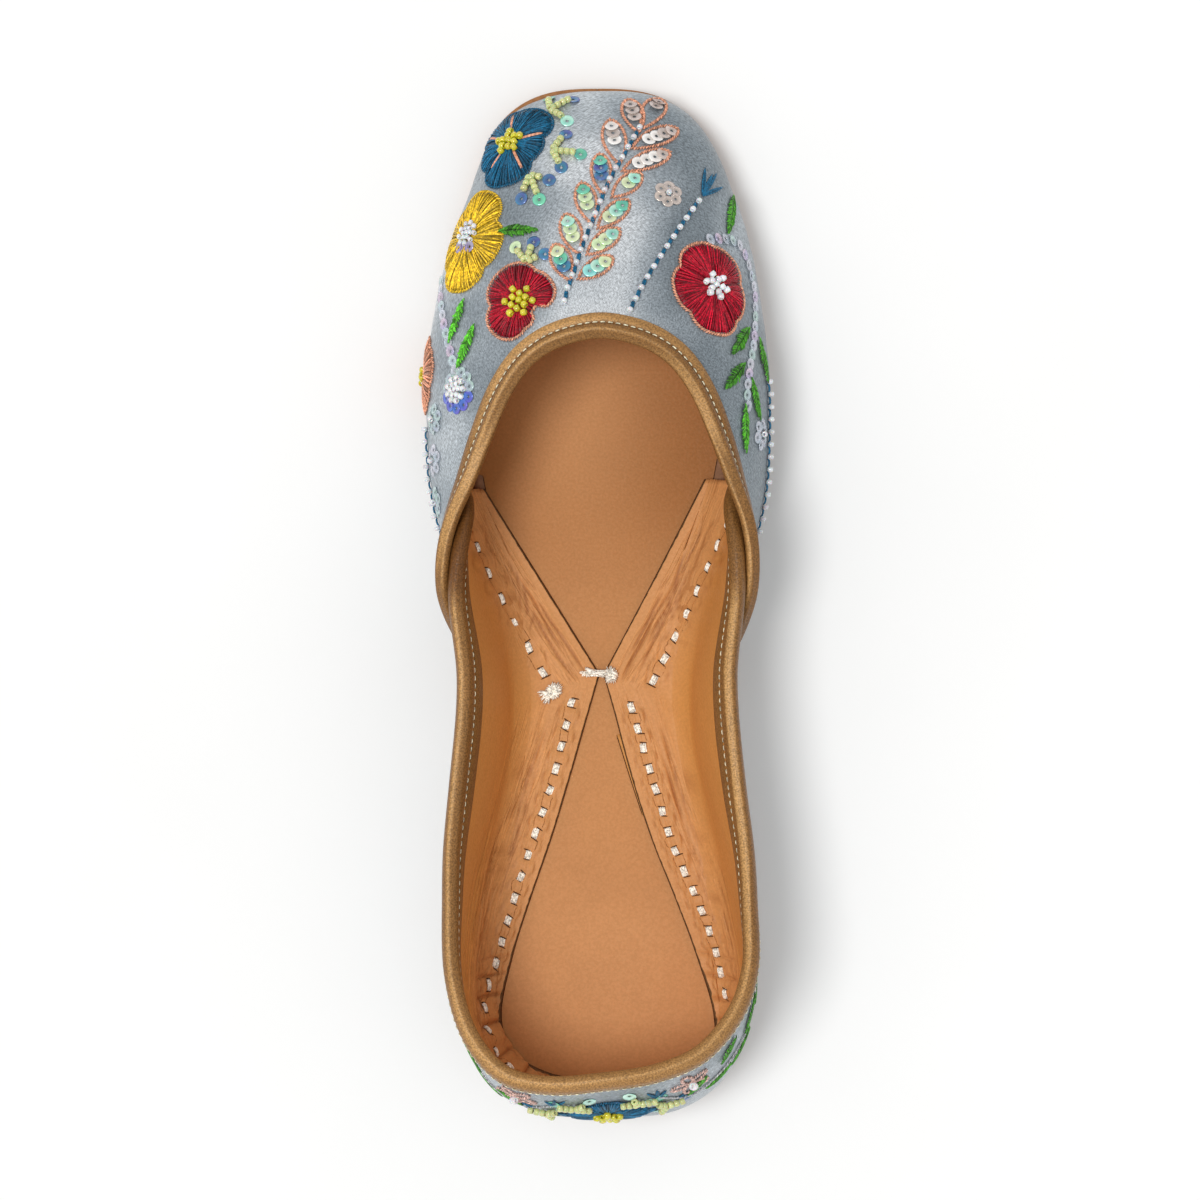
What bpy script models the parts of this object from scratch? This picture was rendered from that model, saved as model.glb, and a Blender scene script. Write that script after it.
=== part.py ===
"""Jutti-style ballet flat, left shoe, standing empty on its leather sole.

Metres, +Z up, toe towards +Y, heel towards -Y, +X to the wearer's inner side.
The origin is under the middle of the shoe, on the ground.

Every piece is read from one last. A station runs along the side of the shoe from 0 at the
back of the heel to 1 at the tip of the toe. At each station a rib rises from the feather
line, where the upper meets the sole, to the top of the last: the top line at the heel and
waist, the throat in front of it. The vamp and the quarter are walls that follow those ribs.
"""

import math

import bmesh
import bpy
import numpy as np

# Driving sizes
LENGTH = 0.2515
BALL_WIDTH = 0.0848
INSTEP_HEIGHT = 0.0460
BACK_HEIGHT = 0.0545
HEEL_HEIGHT = 0.0050

OUTSOLE_THICKNESS = 0.0035
INSOLE_THICKNESS = 0.0022
TOE_SPRING = 0.0030
VAMP_WALL = 0.0016
QUARTER_WALL = 0.0018
FLANGE_THICKNESS = 0.0011
BINDING_LEATHER = 0.0007
GAP = 0.0003

HALF_BALL = BALL_WIDTH / 2
SOLE_LENGTH = LENGTH - 0.0010
SOLE_MIDDLE = (LENGTH - SOLE_LENGTH) / 2
BACK_RISE = BACK_HEIGHT / INSTEP_HEIGHT

# Underside of the outsole, as shares of LENGTH from the middle: it rests on the lift as far as
# HEEL_REST, comes down to the ground at TREAD_START and rises again from SPRING_START to the tip
HEEL_REST = -0.270
TREAD_START = 0.050
SPRING_START = 0.320
LIFT_BREAST = -0.275

# Round ends of the sole: how deep each one is, and how square
TOE_DEPTH = 0.0220
TOE_POWER = 2.5
HEEL_DEPTH = 0.0380
HEEL_POWER = 2.0
END_ROOT = 0.35

# How far the upper's foot stands in from the sole's edge
EDGE_MARGIN = 0.0010
TOE_EXTRA_MARGIN = 0.0007

# How a rib is drawn: the pull of the sole's edge on the way its top falls, the least reach of a
# leaning top, and the share of the rib over which a wall's depth turns from level to square
EDGE_PULL = 0.0250
TOP_REACH = 0.45
FOOT_TURN = 0.16

# The quarter runs inside the vamp's wings: how deep, and over which shares of LENGTH it goes in
WING_INSET = VAMP_WALL + BINDING_LEATHER + 3 * GAP
INSET_START = -0.260
INSET_END = -0.080

# The left shoe's small departures from a straight last
HEEL_SWING = 0.0021
THROAT_SWING = 0.0016
RIM_SWING = 0.0004
TOE_SWING = 0.0006
COUNTER_SKEW = 0.12

SOLE_ROWS = (
    # along: share of LENGTH from the middle.  half: share of half the ball width
    ("along", "half"),
    (
        (-0.500, 0.790),
        (-0.360, 0.790),
        (-0.270, 0.735),
        (-0.185, 0.665),
        (-0.100, 0.648),
        (0.000, 0.715),
        (0.085, 0.858),
        (0.160, 0.935),
        (0.220, 0.952),
        (0.290, 0.908),
        (0.360, 0.825),
        (0.424, 0.705),
        (0.500, 0.605),
    ),
)

RIB_ROWS = (
    # station: share of the way from heel to toe along the feather line
    # along, out: the rib's top, as shares of LENGTH and of half the ball width
    # rise: height of the top as a share of INSTEP_HEIGHT
    # foot_lean, foot_pull: the rib's direction off its foot, degrees outward, and its strength
    # top_lean, top_pull: the same at the top, degrees inward; a pull is a share of the rise
    ("station", "along", "out", "rise", "foot_lean", "foot_pull", "top_lean", "top_pull"),
    (
        (0.000, -0.4590, 0.000, BACK_RISE, 30, 0.34, 18, 0.26),
        (0.045, -0.4570, 0.300, 1.165, 34, 0.38, 18, 0.26),
        (0.090, -0.4435, 0.555, 1.140, 34, 0.40, 16, 0.26),
        (0.140, -0.4060, 0.760, 1.095, 28, 0.36, 10, 0.26),
        (0.190, -0.3560, 0.858, 1.045, 20, 0.33, 2, 0.26),
        (0.250, -0.2800, 0.866, 0.985, 14, 0.33, -8, 0.26),
        (0.330, -0.1800, 0.842, 0.915, 9, 0.33, -24, 0.28),
        (0.415, -0.0750, 0.842, 0.862, 10, 0.33, -24, 0.28),
        (0.490, 0.0150, 0.895, 0.835, 20, 0.36, -8, 0.26),
        (0.540, 0.0700, 0.856, 0.830, 30, 0.44, 12, 0.28),
        (0.585, 0.1180, 0.748, 0.855, 35, 0.50, 30, 0.30),
        (0.640, 0.1580, 0.655, 0.895, 32, 0.48, 43, 0.30),
        (0.710, 0.1960, 0.555, 0.935, 28, 0.46, 54, 0.34),
        (0.775, 0.2220, 0.450, 0.962, 25, 0.44, 61, 0.42),
        (0.840, 0.2385, 0.335, 0.980, 19, 0.41, 65, 0.50),
        (0.900, 0.2480, 0.215, 0.992, 12, 0.38, 67, 0.56),
        (0.950, 0.2530, 0.105, 0.998, 8, 0.37, 68, 0.60),
        (1.000, 0.2550, 0.000, 1.000, 6, 0.37, 68, 0.61),
    ),
)

WING_END = -0.0860
WING_ROWS = (
    # The vamp's rear edge: height of its top at each place, as a share of INSTEP_HEIGHT
    ("along", "rise"),
    (
        (WING_END, 0.145),
        (-0.0810, 0.270),
        (-0.0730, 0.410),
        (-0.0620, 0.540),
        (-0.0470, 0.655),
        (-0.0280, 0.738),
        (-0.0040, 0.790),
        (0.0300, 0.815),
        (0.0700, 0.835),
    ),
)
# In front of the wing the vamp's top runs up to the throat over these shares of LENGTH
WING_JOIN_START = 0.035
WING_JOIN_END = 0.075

QUARTER_FRONT = 0.1050
QUARTER_FRONT_ROWS = (
    # The quarter's top line where it dips inside the vamp
    ("along", "rise"),
    (
        (0.0150, 0.840),
        (0.0450, 0.800),
        (0.0750, 0.730),
        (QUARTER_FRONT, 0.620),
    ),
)
QUARTER_DIP_START = -0.010
QUARTER_DIP_END = 0.030

FLANGE_ROWS = (
    # The cut edge of the turned-in leather behind the crossing.
    # wall: station of the wall beside it.  along: share of LENGTH
    # left, right: how far each side's edge stands off the middle, as shares of half the ball width
    ("wall", "along", "left", "right"),
    (
        (0.400, -0.0740, 0.010, 0.010),
        (0.372, -0.1130, 0.080, 0.072),
        (0.335, -0.1660, 0.175, 0.150),
        (0.285, -0.2340, 0.305, 0.270),
        (0.240, -0.2930, 0.435, 0.400),
        (0.190, -0.3500, 0.550, 0.515),
        (0.145, -0.4050, 0.625, 0.600),
        (0.100, -0.4420, 0.570, 0.570),
        (0.055, -0.4640, 0.350, 0.350),
        (0.000, -0.4690, 0.000, 0.000),
    ),
)
# The same for the straps' front ends, which run straight to the crossing
STRAP_FRONT = (0.585, 0.1060, 0.665, 0.665)
# The bend between wall and insole, and where on the wall the turned-in leather starts
FLANGE_TURN = 0.0070
FLANGE_TURN_SHARE = 0.55
FLANGE_WALL_SHARES = (0.38, 0.22)

# Folded strips on the top edges: how far each reaches down outside and inside, how high its roll
# stands, and how wide the strip lies flat before it rolls over
VAMP_STRIP = 0.0043
VAMP_ROLL = 0.0018
VAMP_FLAT = 0.0020
QUARTER_STRIP_OUTSIDE = 0.0030
QUARTER_STRIP_INSIDE = 0.0065
QUARTER_ROLL = 0.0019


def clear_scene():
    for thing in list(bpy.data.objects):
        bpy.data.objects.remove(thing, do_unlink=True)


def make_collection(name):
    collection = bpy.data.collections.new(name)
    bpy.context.scene.collection.children.link(collection)
    return collection


def make_material(name, colour, roughness):
    material = bpy.data.materials.new(name)
    material.use_nodes = True
    shader = material.node_tree.nodes["Principled BSDF"]
    shader.inputs["Base Color"].default_value = (*colour, 1.0)
    shader.inputs["Roughness"].default_value = roughness
    material.diffuse_color = (*colour, 1.0)
    return material


def add_object(name, shape, collection, material):
    mesh = bpy.data.meshes.new(name)
    shape.to_mesh(mesh)
    shape.free()
    mesh.materials.append(material)
    mesh.shade_smooth()
    mesh.set_sharp_from_angle(angle=math.radians(40))
    thing = bpy.data.objects.new(name, mesh)
    collection.objects.link(thing)
    return thing


def smoothstep(low, high, value):
    share = np.clip((np.asarray(value, float) - low) / (high - low), 0.0, 1.0)
    return share * share * (3.0 - 2.0 * share)


def through(places, values, at):
    """A smooth curve through the rows of a table, read at one or many places."""
    places = np.asarray(places, float)
    values = np.asarray(values, float)
    at = np.asarray(at, float)
    slopes = np.gradient(values, places)
    low = np.clip(np.searchsorted(places, at) - 1, 0, len(places) - 2)
    width = places[low + 1] - places[low]
    share = np.clip((at - places[low]) / width, 0.0, 1.0)
    rest = 1.0 - share
    return (
        values[low] * (1.0 + 2.0 * share) * rest**2
        + values[low + 1] * (3.0 - 2.0 * share) * share**2
        + width * (slopes[low] * share * rest**2 - slopes[low + 1] * rest * share**2)
    )


def column(table, name):
    names, rows = table
    return np.array([row[names.index(name)] for row in rows], float)


def sole_half_width(along):
    """Half the sole's width at this share of LENGTH, with the round ends taken off."""
    body = HALF_BALL * through(column(SOLE_ROWS, "along"), column(SOLE_ROWS, "half"), along)
    y = along * LENGTH
    toe_tip = SOLE_MIDDLE + SOLE_LENGTH / 2
    heel_tip = SOLE_MIDDLE - SOLE_LENGTH / 2
    into_toe = np.clip(1.0 - (toe_tip - y) / TOE_DEPTH, 0.0, 1.0)
    into_heel = np.clip(1.0 - (y - heel_tip) / HEEL_DEPTH, 0.0, 1.0)
    toe = (1.0 - into_toe**TOE_POWER) ** END_ROOT
    heel = (1.0 - into_heel**HEEL_POWER) ** END_ROOT
    return body * toe * heel


def trace_outline():
    """The sole's edge on the +X side from heel to toe: stations, points and outward normals."""
    turn = np.linspace(0.0, math.pi, 4001)
    y = SOLE_MIDDLE - SOLE_LENGTH / 2 * np.cos(turn)
    x = sole_half_width(y / LENGTH)
    x[0] = x[-1] = 0.0
    length = np.concatenate([[0.0], np.cumsum(np.hypot(np.diff(x), np.diff(y)))])
    station = length / length[-1]
    even = np.linspace(0.0, 1.0, 601)
    x = np.interp(even, station, x)
    y = np.interp(even, station, y)
    across = np.gradient(y)
    forward = -np.gradient(x)
    size = np.hypot(across, forward)
    across, forward = across / size, forward / size
    across[0], forward[0] = 0.0, -1.0
    across[-1], forward[-1] = 0.0, 1.0
    return even, x, y, across, forward


OUTLINE = trace_outline()


def fold(station):
    """Stations past either end lie on the other side of the shoe."""
    station = np.asarray(station, float)
    side = np.where((station < 0.0) | (station > 1.0), -1.0, 1.0)
    station = np.abs(station)
    return np.where(station > 1.0, 2.0 - station, station), side


def edge_point(station, inset):
    """A point in from the sole's edge, and the outward direction there."""
    near, side = fold(station)
    even, x, y, across, forward = OUTLINE
    out = np.stack([np.interp(near, even, across), np.interp(near, even, forward)], -1)
    out /= np.linalg.norm(out, axis=-1, keepdims=True)
    point = np.stack([np.interp(near, even, x), np.interp(near, even, y)], -1)
    point = point - out * np.asarray(inset)[..., None]
    turn = np.stack([side, np.ones_like(side)], -1)
    return point * turn, out * turn


def station_at(along):
    """The station whose point on the sole's edge lies at this share of LENGTH."""
    even, _, y, _, _ = OUTLINE
    return np.interp(along * LENGTH, y, even)


def sole_floor(y):
    """Height of the outsole's underside: on the heel, through the waist, flat tread, toe spring."""
    along = y / LENGTH
    heel = HEEL_HEIGHT * (1.0 - smoothstep(HEEL_REST, TREAD_START, along))
    toe = TOE_SPRING * np.clip((along - SPRING_START) / (0.5 - SPRING_START), 0.0, 1.0) ** 2
    return heel + toe


def feather_height(y):
    return sole_floor(y) + OUTSOLE_THICKNESS + GAP


def lasted(points):
    """The left shoe's swing: heel and throat towards the inner side, counter turned a little."""
    x, y, z = points[..., 0], points[..., 1], points[..., 2]
    back = np.clip((0.20 * LENGTH - y) / (0.54 * LENGTH), 0.0, 1.2)
    throat = smoothstep(0.45, 0.95, z / INSTEP_HEIGHT)
    throat = throat * smoothstep(-0.02, 0.14, y / LENGTH) * (1 - smoothstep(0.27, 0.42, y / LENGTH))
    high = smoothstep(0.30, 1.10, z / INSTEP_HEIGHT)
    rear = smoothstep(-0.30, -0.46, y / LENGTH)
    rim = high * smoothstep(-0.08, -0.20, y / LENGTH)
    toe = smoothstep(0.40, 0.50, y / LENGTH)
    swung = x + HEEL_SWING * back**2 + THROAT_SWING * throat - RIM_SWING * rim - TOE_SWING * toe
    turned = y + COUNTER_SKEW * x * high * rear
    return np.stack([swung, turned, z], -1)


def rib_value(name, station):
    """One column of the rib table, carried round both ends of the shoe."""
    places = column(RIB_ROWS, "station")
    values = column(RIB_ROWS, name)
    sign = -1.0 if name == "out" else 1.0
    places = np.concatenate([-places[3:0:-1], places, 2.0 - places[-2:-5:-1]])
    values = np.concatenate([sign * values[3:0:-1], values, sign * values[-2:-5:-1]])
    return through(places, values, station)


def last_point(station, share):
    """A point on the last's skin: share 0 at the feather line, 1 at the top of the rib."""
    station, share = np.broadcast_arrays(np.asarray(station, float), np.asarray(share, float))
    near, side = fold(station)
    margin = EDGE_MARGIN + TOE_EXTRA_MARGIN * smoothstep(0.90, 1.0, near)
    foot_xy, out = edge_point(station, margin)
    foot = np.concatenate([foot_xy, feather_height(foot_xy[..., 1])[..., None]], -1)
    top = np.stack(
        [
            rib_value("out", near) * HALF_BALL * side,
            rib_value("along", near) * LENGTH,
            rib_value("rise", near) * INSTEP_HEIGHT,
        ],
        -1,
    )
    reach = top[..., 2] - foot[..., 2]
    away = out * EDGE_PULL + (foot - top)[..., :2]
    away /= np.linalg.norm(away, axis=-1, keepdims=True)
    foot_lean = np.radians(rib_value("foot_lean", near))
    top_lean = np.radians(rib_value("top_lean", near))
    foot_pull = (rib_value("foot_pull", near) * reach)[..., None]
    top_pull = (rib_value("top_pull", near) * reach)[..., None]
    rise = np.concatenate([out * np.sin(foot_lean)[..., None], np.cos(foot_lean)[..., None]], -1)
    drop = np.concatenate([away * np.sin(top_lean)[..., None], -np.cos(top_lean)[..., None]], -1)
    # A steep rib needs little pull at its top, a low one reaches far over the toes
    span = np.linalg.norm((foot - top)[..., :2], axis=-1)[..., None]
    top_pull = np.maximum(top_pull, TOP_REACH * span * np.abs(np.sin(top_lean))[..., None])
    p0, p1, p2, p3 = foot, foot + rise * foot_pull, top + drop * top_pull, top
    s = share[..., None]
    r = 1.0 - s
    return lasted(p0 * r**3 + 3 * p1 * s * r**2 + 3 * p2 * s**2 * r + p3 * s**3)


STEP = 1e-4


def last_slopes(station, share):
    """How the skin moves with the station and with the share of the rib."""
    along = last_point(station + STEP, share) - last_point(station - STEP, share)
    low = np.maximum(share - STEP, 0.0)
    up = last_point(station, share + STEP) - last_point(station, low)
    return along / (2 * STEP), up / (share + STEP - low)[..., None]


def skin(station, share, depth=0.0):
    """A point this deep inside the last's skin. By the sole the depth is measured level."""
    station, share, depth = np.broadcast_arrays(
        np.asarray(station, float), np.asarray(share, float), np.asarray(depth, float)
    )
    along, up = last_slopes(station, share)
    normal = np.cross(along, up)
    normal[..., 2] *= smoothstep(0.0, FOOT_TURN, share)
    normal /= np.linalg.norm(normal, axis=-1, keepdims=True)
    return last_point(station, share) - normal * depth[..., None]


def share_at_height(station, height):
    """The share of each rib at which it reaches this height."""
    tries = np.linspace(0.0, 1.0, 101)
    found = [
        np.interp(h, last_point(np.full(101, s), tries)[:, 2], tries)
        for s, h in zip(np.ravel(station), np.ravel(height))
    ]
    return np.array(found).reshape(np.shape(station))


def wing_top(station):
    """Top of the vamp's wall as a share of the rib: all of it in front, sloping down at the wing."""
    near, _ = fold(station)
    along = edge_point(near, 0.0)[0][..., 1] / LENGTH
    height = INSTEP_HEIGHT * through(column(WING_ROWS, "along"), column(WING_ROWS, "rise"), along)
    share = share_at_height(near, height)
    joined = smoothstep(WING_JOIN_START, WING_JOIN_END, along)
    return share * (1 - joined) + joined


def quarter_top(station):
    """Top of the quarter's wall as a share of the rib: all of it, but for the dip in front."""
    near, _ = fold(station)
    along = edge_point(near, 0.0)[0][..., 1] / LENGTH
    rows = QUARTER_FRONT_ROWS
    height = INSTEP_HEIGHT * through(column(rows, "along"), column(rows, "rise"), along)
    share = share_at_height(near, height)
    joined = smoothstep(QUARTER_DIP_START, QUARTER_DIP_END, along)
    return 1.0 - joined * (1.0 - share)


def quarter_inset(station):
    """The quarter's outer face lies this deep: on the last at the heel, inside the wings in front."""
    near, _ = fold(station)
    along = edge_point(near, 0.0)[0][..., 1] / LENGTH
    return WING_INSET * smoothstep(INSET_START, INSET_END, along)


def grid_faces(shape, ids, flip=False):
    """Quads between neighbouring rows and columns of vertices."""
    for low, high in zip(ids[:-1], ids[1:]):
        for a, b, c, d in zip(low[:-1], high[:-1], high[1:], low[1:]):
            corners = (a, d, c, b) if flip else (a, b, c, d)
            shape.faces.new(corners)


def shell(outer, inner):
    """A closed wall between two grids of points that match."""
    shape = bmesh.new()
    rows, columns = outer.shape[:2]
    outside = [[shape.verts.new(outer[i, j]) for j in range(columns)] for i in range(rows)]
    inside = [[shape.verts.new(inner[i, j]) for j in range(columns)] for i in range(rows)]
    grid_faces(shape, outside)
    grid_faces(shape, inside, flip=True)
    for near, far, flip in (
        (outside[0], inside[0], False),
        (outside[-1], inside[-1], True),
        ([row[0] for row in outside], [row[0] for row in inside], True),
        ([row[-1] for row in outside], [row[-1] for row in inside], False),
    ):
        grid_faces(shape, [near, far], flip=not flip)
    bmesh.ops.recalc_face_normals(shape, faces=shape.faces)
    return shape


def rings(sections):
    """A closed solid through sections of equal count, its two end sections capped."""
    shape = bmesh.new()
    loops = [[shape.verts.new(point) for point in section] for section in sections]
    for low, high in zip(loops[:-1], loops[1:]):
        for k, corner in enumerate(low):
            after = (k + 1) % len(low)
            shape.faces.new((corner, low[after], high[after], high[k]))
    shape.faces.new(loops[0])
    shape.faces.new(loops[-1][::-1])
    bmesh.ops.remove_doubles(shape, verts=shape.verts, dist=1e-6)
    bmesh.ops.dissolve_degenerate(shape, edges=shape.edges, dist=1e-7)
    bmesh.ops.recalc_face_normals(shape, faces=shape.faces)
    return shape


def plate(stations, inset, low, high, edge=0.0005, across=5):
    """A sheet of leather inside the sole's outline: the same stations left and right."""
    sections = []
    for station in stations:
        near = inset(station) if callable(inset) else inset
        inner = edge_point(station, near + edge)[0]
        outer = edge_point(station, near)[0]
        spread = np.linspace(-1.0, 1.0, across)
        under = [(inner[0] * s, inner[1], low(inner[1])) for s in spread]
        over = [(inner[0] * s, inner[1], high(inner[1])) for s in spread[::-1]]
        right = [
            (outer[0], outer[1], low(outer[1]) + edge),
            (outer[0], outer[1], high(outer[1]) - edge),
        ]
        left = [(-x, y, z) for x, y, z in right[::-1]]
        sections.append(lasted(np.array(under + right + over + left)))
    return rings(sections)


def edge_frame(top, station, depth):
    """A wall's top edge: the point, the outward normal and the way up off the edge."""
    share = top(station)
    point = skin(station, share, depth(station))
    ahead = skin(station + STEP, top(station + STEP), depth(station + STEP))
    behind = skin(station - STEP, top(station - STEP), depth(station - STEP))
    run = ahead - behind
    run /= np.linalg.norm(run, axis=-1, keepdims=True)
    along, up = last_slopes(station, share)
    normal = np.cross(along, up)
    normal /= np.linalg.norm(normal, axis=-1, keepdims=True)
    off = np.cross(normal, run)
    off /= np.linalg.norm(off, axis=-1, keepdims=True)
    return share, point, normal, off


def down_from_edge(station, share, off, distance):
    """Where a walk of this length down the skin, square to the edge, ends."""
    steps = 4
    for _ in range(steps):
        along, up = last_slopes(station, share)
        basis = np.stack([along, up], -1)
        move = np.linalg.pinv(basis) @ (-off * distance / steps)[..., None]
        station = station + move[..., 0, 0]
        share = np.clip(share + move[..., 1, 0], 0.0, 1.0)
    return station, share


def binding(top, depth, stations, profile):
    """A folded strip on a wall's top edge. Profile points are (up off the edge, out from the wall)."""
    share, point, normal, off = edge_frame(top, stations, depth)
    sections = []
    for up, out in profile:
        if up >= 0.0:
            sections.append(point + off * up + normal * out)
            continue
        place, height = down_from_edge(stations, share, off, -up)
        sections.append(skin(place, height, depth(place) - out))
    return rings(np.stack(sections, 1))


def vamp_depth(station):
    return np.zeros_like(np.asarray(station, float))


def build_vamp(collection, material):
    tail = station_at(WING_END)
    wing = 0.16 * np.linspace(0.0, 1.0, 13)[:-1] ** 1.25
    front = np.linspace(tail + 0.16, 1.0, 20)
    half = np.concatenate([tail + wing, front])
    stations = np.concatenate([half, 2.0 - half[-2::-1]])
    share = np.linspace(0.0, 1.0, 11)[None, :] * wing_top(stations)[:, None]
    place = np.broadcast_to(stations[:, None], share.shape)
    shape = shell(skin(place, share), skin(place, share, VAMP_WALL))
    add_object("vamp", shape, collection, material)
    return stations


def quarter_stations():
    """Stations from the back of the heel to the quarter's front end, one of them at the crossing."""
    crossing = column(FLANGE_ROWS, "wall")[0]
    behind = np.linspace(0.0, crossing, 21)
    before = np.linspace(crossing, station_at(QUARTER_FRONT), 11)
    return np.concatenate([behind, before[1:]])


def build_quarter(collection, material):
    half = quarter_stations()
    stations = np.concatenate([-half[:0:-1], half])
    share = np.linspace(0.0, 1.0, 9)[None, :] * quarter_top(stations)[:, None]
    place = np.broadcast_to(stations[:, None], share.shape)
    inset = quarter_inset(place)
    shape = shell(skin(place, share, inset), skin(place, share, inset + QUARTER_WALL))
    add_object("quarter", shape, collection, material)
    return stations


def build_bindings(collection, material, vamp_stations, top_stations):
    near = GAP
    far = GAP + BINDING_LEATHER
    back = -VAMP_WALL
    vamp_profile = (
        (-VAMP_STRIP, near),
        (-VAMP_STRIP, far),
        (-VAMP_FLAT, far),
        (0.1 * VAMP_ROLL, far),
        (0.8 * VAMP_ROLL, 0.5 * far),
        (VAMP_ROLL, 0.4 * back),
        (0.7 * VAMP_ROLL, back),
        (near, back),
        (near, near),
        (-VAMP_FLAT, near),
    )
    shape = binding(wing_top, vamp_depth, vamp_stations, vamp_profile)
    add_object("vamp_binding", shape, collection, material)
    back = -QUARTER_WALL
    quarter_profile = (
        (-QUARTER_STRIP_OUTSIDE, near),
        (-QUARTER_STRIP_OUTSIDE, far),
        (0.1 * QUARTER_ROLL, far),
        (0.8 * QUARTER_ROLL, 0.2 * far),
        (QUARTER_ROLL, 0.5 * back),
        (0.8 * QUARTER_ROLL, back - 0.2 * far),
        (0.1 * QUARTER_ROLL, back - far),
        (-QUARTER_STRIP_OUTSIDE, back - far),
        (-QUARTER_STRIP_INSIDE, back - far),
        (-QUARTER_STRIP_INSIDE, back - near),
        (-QUARTER_STRIP_OUTSIDE, back - near),
        (near, back - near),
        (near, near),
    )
    shape = binding(quarter_top, quarter_inset, top_stations, quarter_profile)
    add_object("quarter_binding", shape, collection, material)


def insole_inset(station):
    """The insole stops at the inner face of the walls: in the toe that is the vamp's own."""
    along = edge_point(station, 0.0)[0][1] / LENGTH
    wing = smoothstep(INSET_START, INSET_END, along) * (1.0 - smoothstep(0.115, 0.150, along))
    toe = smoothstep(0.9, 1.0, station)
    walls = EDGE_MARGIN + QUARTER_WALL + 2 * GAP
    return walls + WING_INSET * wing + TOE_EXTRA_MARGIN * toe


def insole_top(y):
    return feather_height(y) + INSOLE_THICKNESS


def build_soles(collection, leather, dark_leather):
    turn = np.linspace(0.0, 1.0, 45)
    stations = turn + 0.03 / math.pi * np.sin(2 * math.pi * turn)
    shape = plate(stations, 0.0, sole_floor, lambda y: sole_floor(y) + OUTSOLE_THICKNESS)
    add_object("outsole", shape, collection, leather)

    stations_of_lift = np.linspace(0.0, station_at(LIFT_BREAST), 19)
    shape = plate(stations_of_lift, GAP, lambda y: 0.0, lambda y: HEEL_HEIGHT - GAP)
    add_object("heel_lift", shape, collection, dark_leather)

    shape = plate(stations, insole_inset, feather_height, insole_top)
    add_object("insole", shape, collection, leather)


def build_flange(collection, material):
    """The quarter's leather turned in on the insole: two straps that cross in front, a cup behind."""
    names, rows = FLANGE_ROWS
    walls = column(FLANGE_ROWS, "wall")[::-1]
    crossing = dict(zip(names, rows[0]))
    front = dict(zip(names, STRAP_FRONT))

    def cut_edge(wall, side):
        """The cut edge beside this station: straight in front of the crossing, curved behind it."""
        if wall > crossing["wall"]:
            share = (wall - crossing["wall"]) / (front["wall"] - crossing["wall"])
            along, out = (crossing[k] + share * (front[k] - crossing[k]) for k in ("along", side))
        else:
            along, out = (through(walls, column(FLANGE_ROWS, k)[::-1], wall) for k in ("along", side))
        return np.array([out * HALF_BALL, along * LENGTH])

    half = quarter_stations()[:-1]
    ribs = [flange_rib(wall, cut_edge(wall, "right")) for wall in half[::-1]]
    ribs += [flange_rib(-wall, cut_edge(wall, "left") * (-1.0, 1.0)) for wall in half[1:]]
    shape = bmesh.new()
    grid_faces(shape, [[shape.verts.new(point) for point in rib] for rib in ribs])
    thing = add_object("quarter_flange", shape, collection, material)
    wall = thing.modifiers.new("thickness", "SOLIDIFY")
    wall.thickness = FLANGE_THICKNESS
    wall.offset = -1.0
    wall.use_even_offset = True


def flange_rib(wall, cut):
    """From a third of the way up the wall, round its foot, over the insole to the cut edge."""
    heights = np.array(FLANGE_WALL_SHARES)
    depth = quarter_inset(wall) + QUARTER_WALL + GAP
    up = skin(np.full(heights.shape, wall), heights, depth)
    foot = skin(np.array([wall]), np.array([0.0]), depth)[0][:2]
    end = lasted(np.array([cut[0], cut[1], 0.0]))[:2]

    def on_insole(place):
        return np.array([*place, insole_top(place[1]) + GAP])

    span = np.linalg.norm(end - foot)
    rest = on_insole(foot + (end - foot) / span * min(FLANGE_TURN, FLANGE_TURN_SHARE * span))
    corner = np.array([*foot, rest[2]])
    bend = [up[-1] * (1 - s) ** 2 + 2 * corner * s * (1 - s) + rest * s**2 for s in (0.33, 0.67)]
    floor = [on_insole(rest[:2] * (1 - s) + end * s) for s in (0.0, 0.5, 1.0)]
    return np.array([*up, *bend, *floor])


def main():
    clear_scene()
    shoe = make_collection("ballet_flat")
    satin = make_material("satin", (0.42, 0.47, 0.52), 0.35)
    leather = make_material("leather", (0.42, 0.19, 0.07), 0.5)
    trim = make_material("binding", (0.30, 0.15, 0.06), 0.5)
    sole = make_material("sole_leather", (0.36, 0.17, 0.07), 0.6)
    lift = make_material("lift_leather", (0.16, 0.08, 0.04), 0.6)

    build_soles(shoe, sole, lift)
    vamp_stations = build_vamp(shoe, satin)
    top_stations = build_quarter(shoe, satin)
    build_bindings(shoe, trim, vamp_stations, top_stations)
    build_flange(shoe, leather)


main()
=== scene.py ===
"""Looks of the embroidered jutti flat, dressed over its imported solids.

Metres, +Z up, toe towards +Y, +X to the wearer's inner side of this left shoe. The walls, strips
and turned-in leather are read from the same last as the solids, only finer, and the embroidery is
laid on the vamp's own surface.
"""

import math

import bpy
import numpy as np
from mathutils import Matrix, Vector
from mathutils.bvhtree import BVHTree


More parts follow.
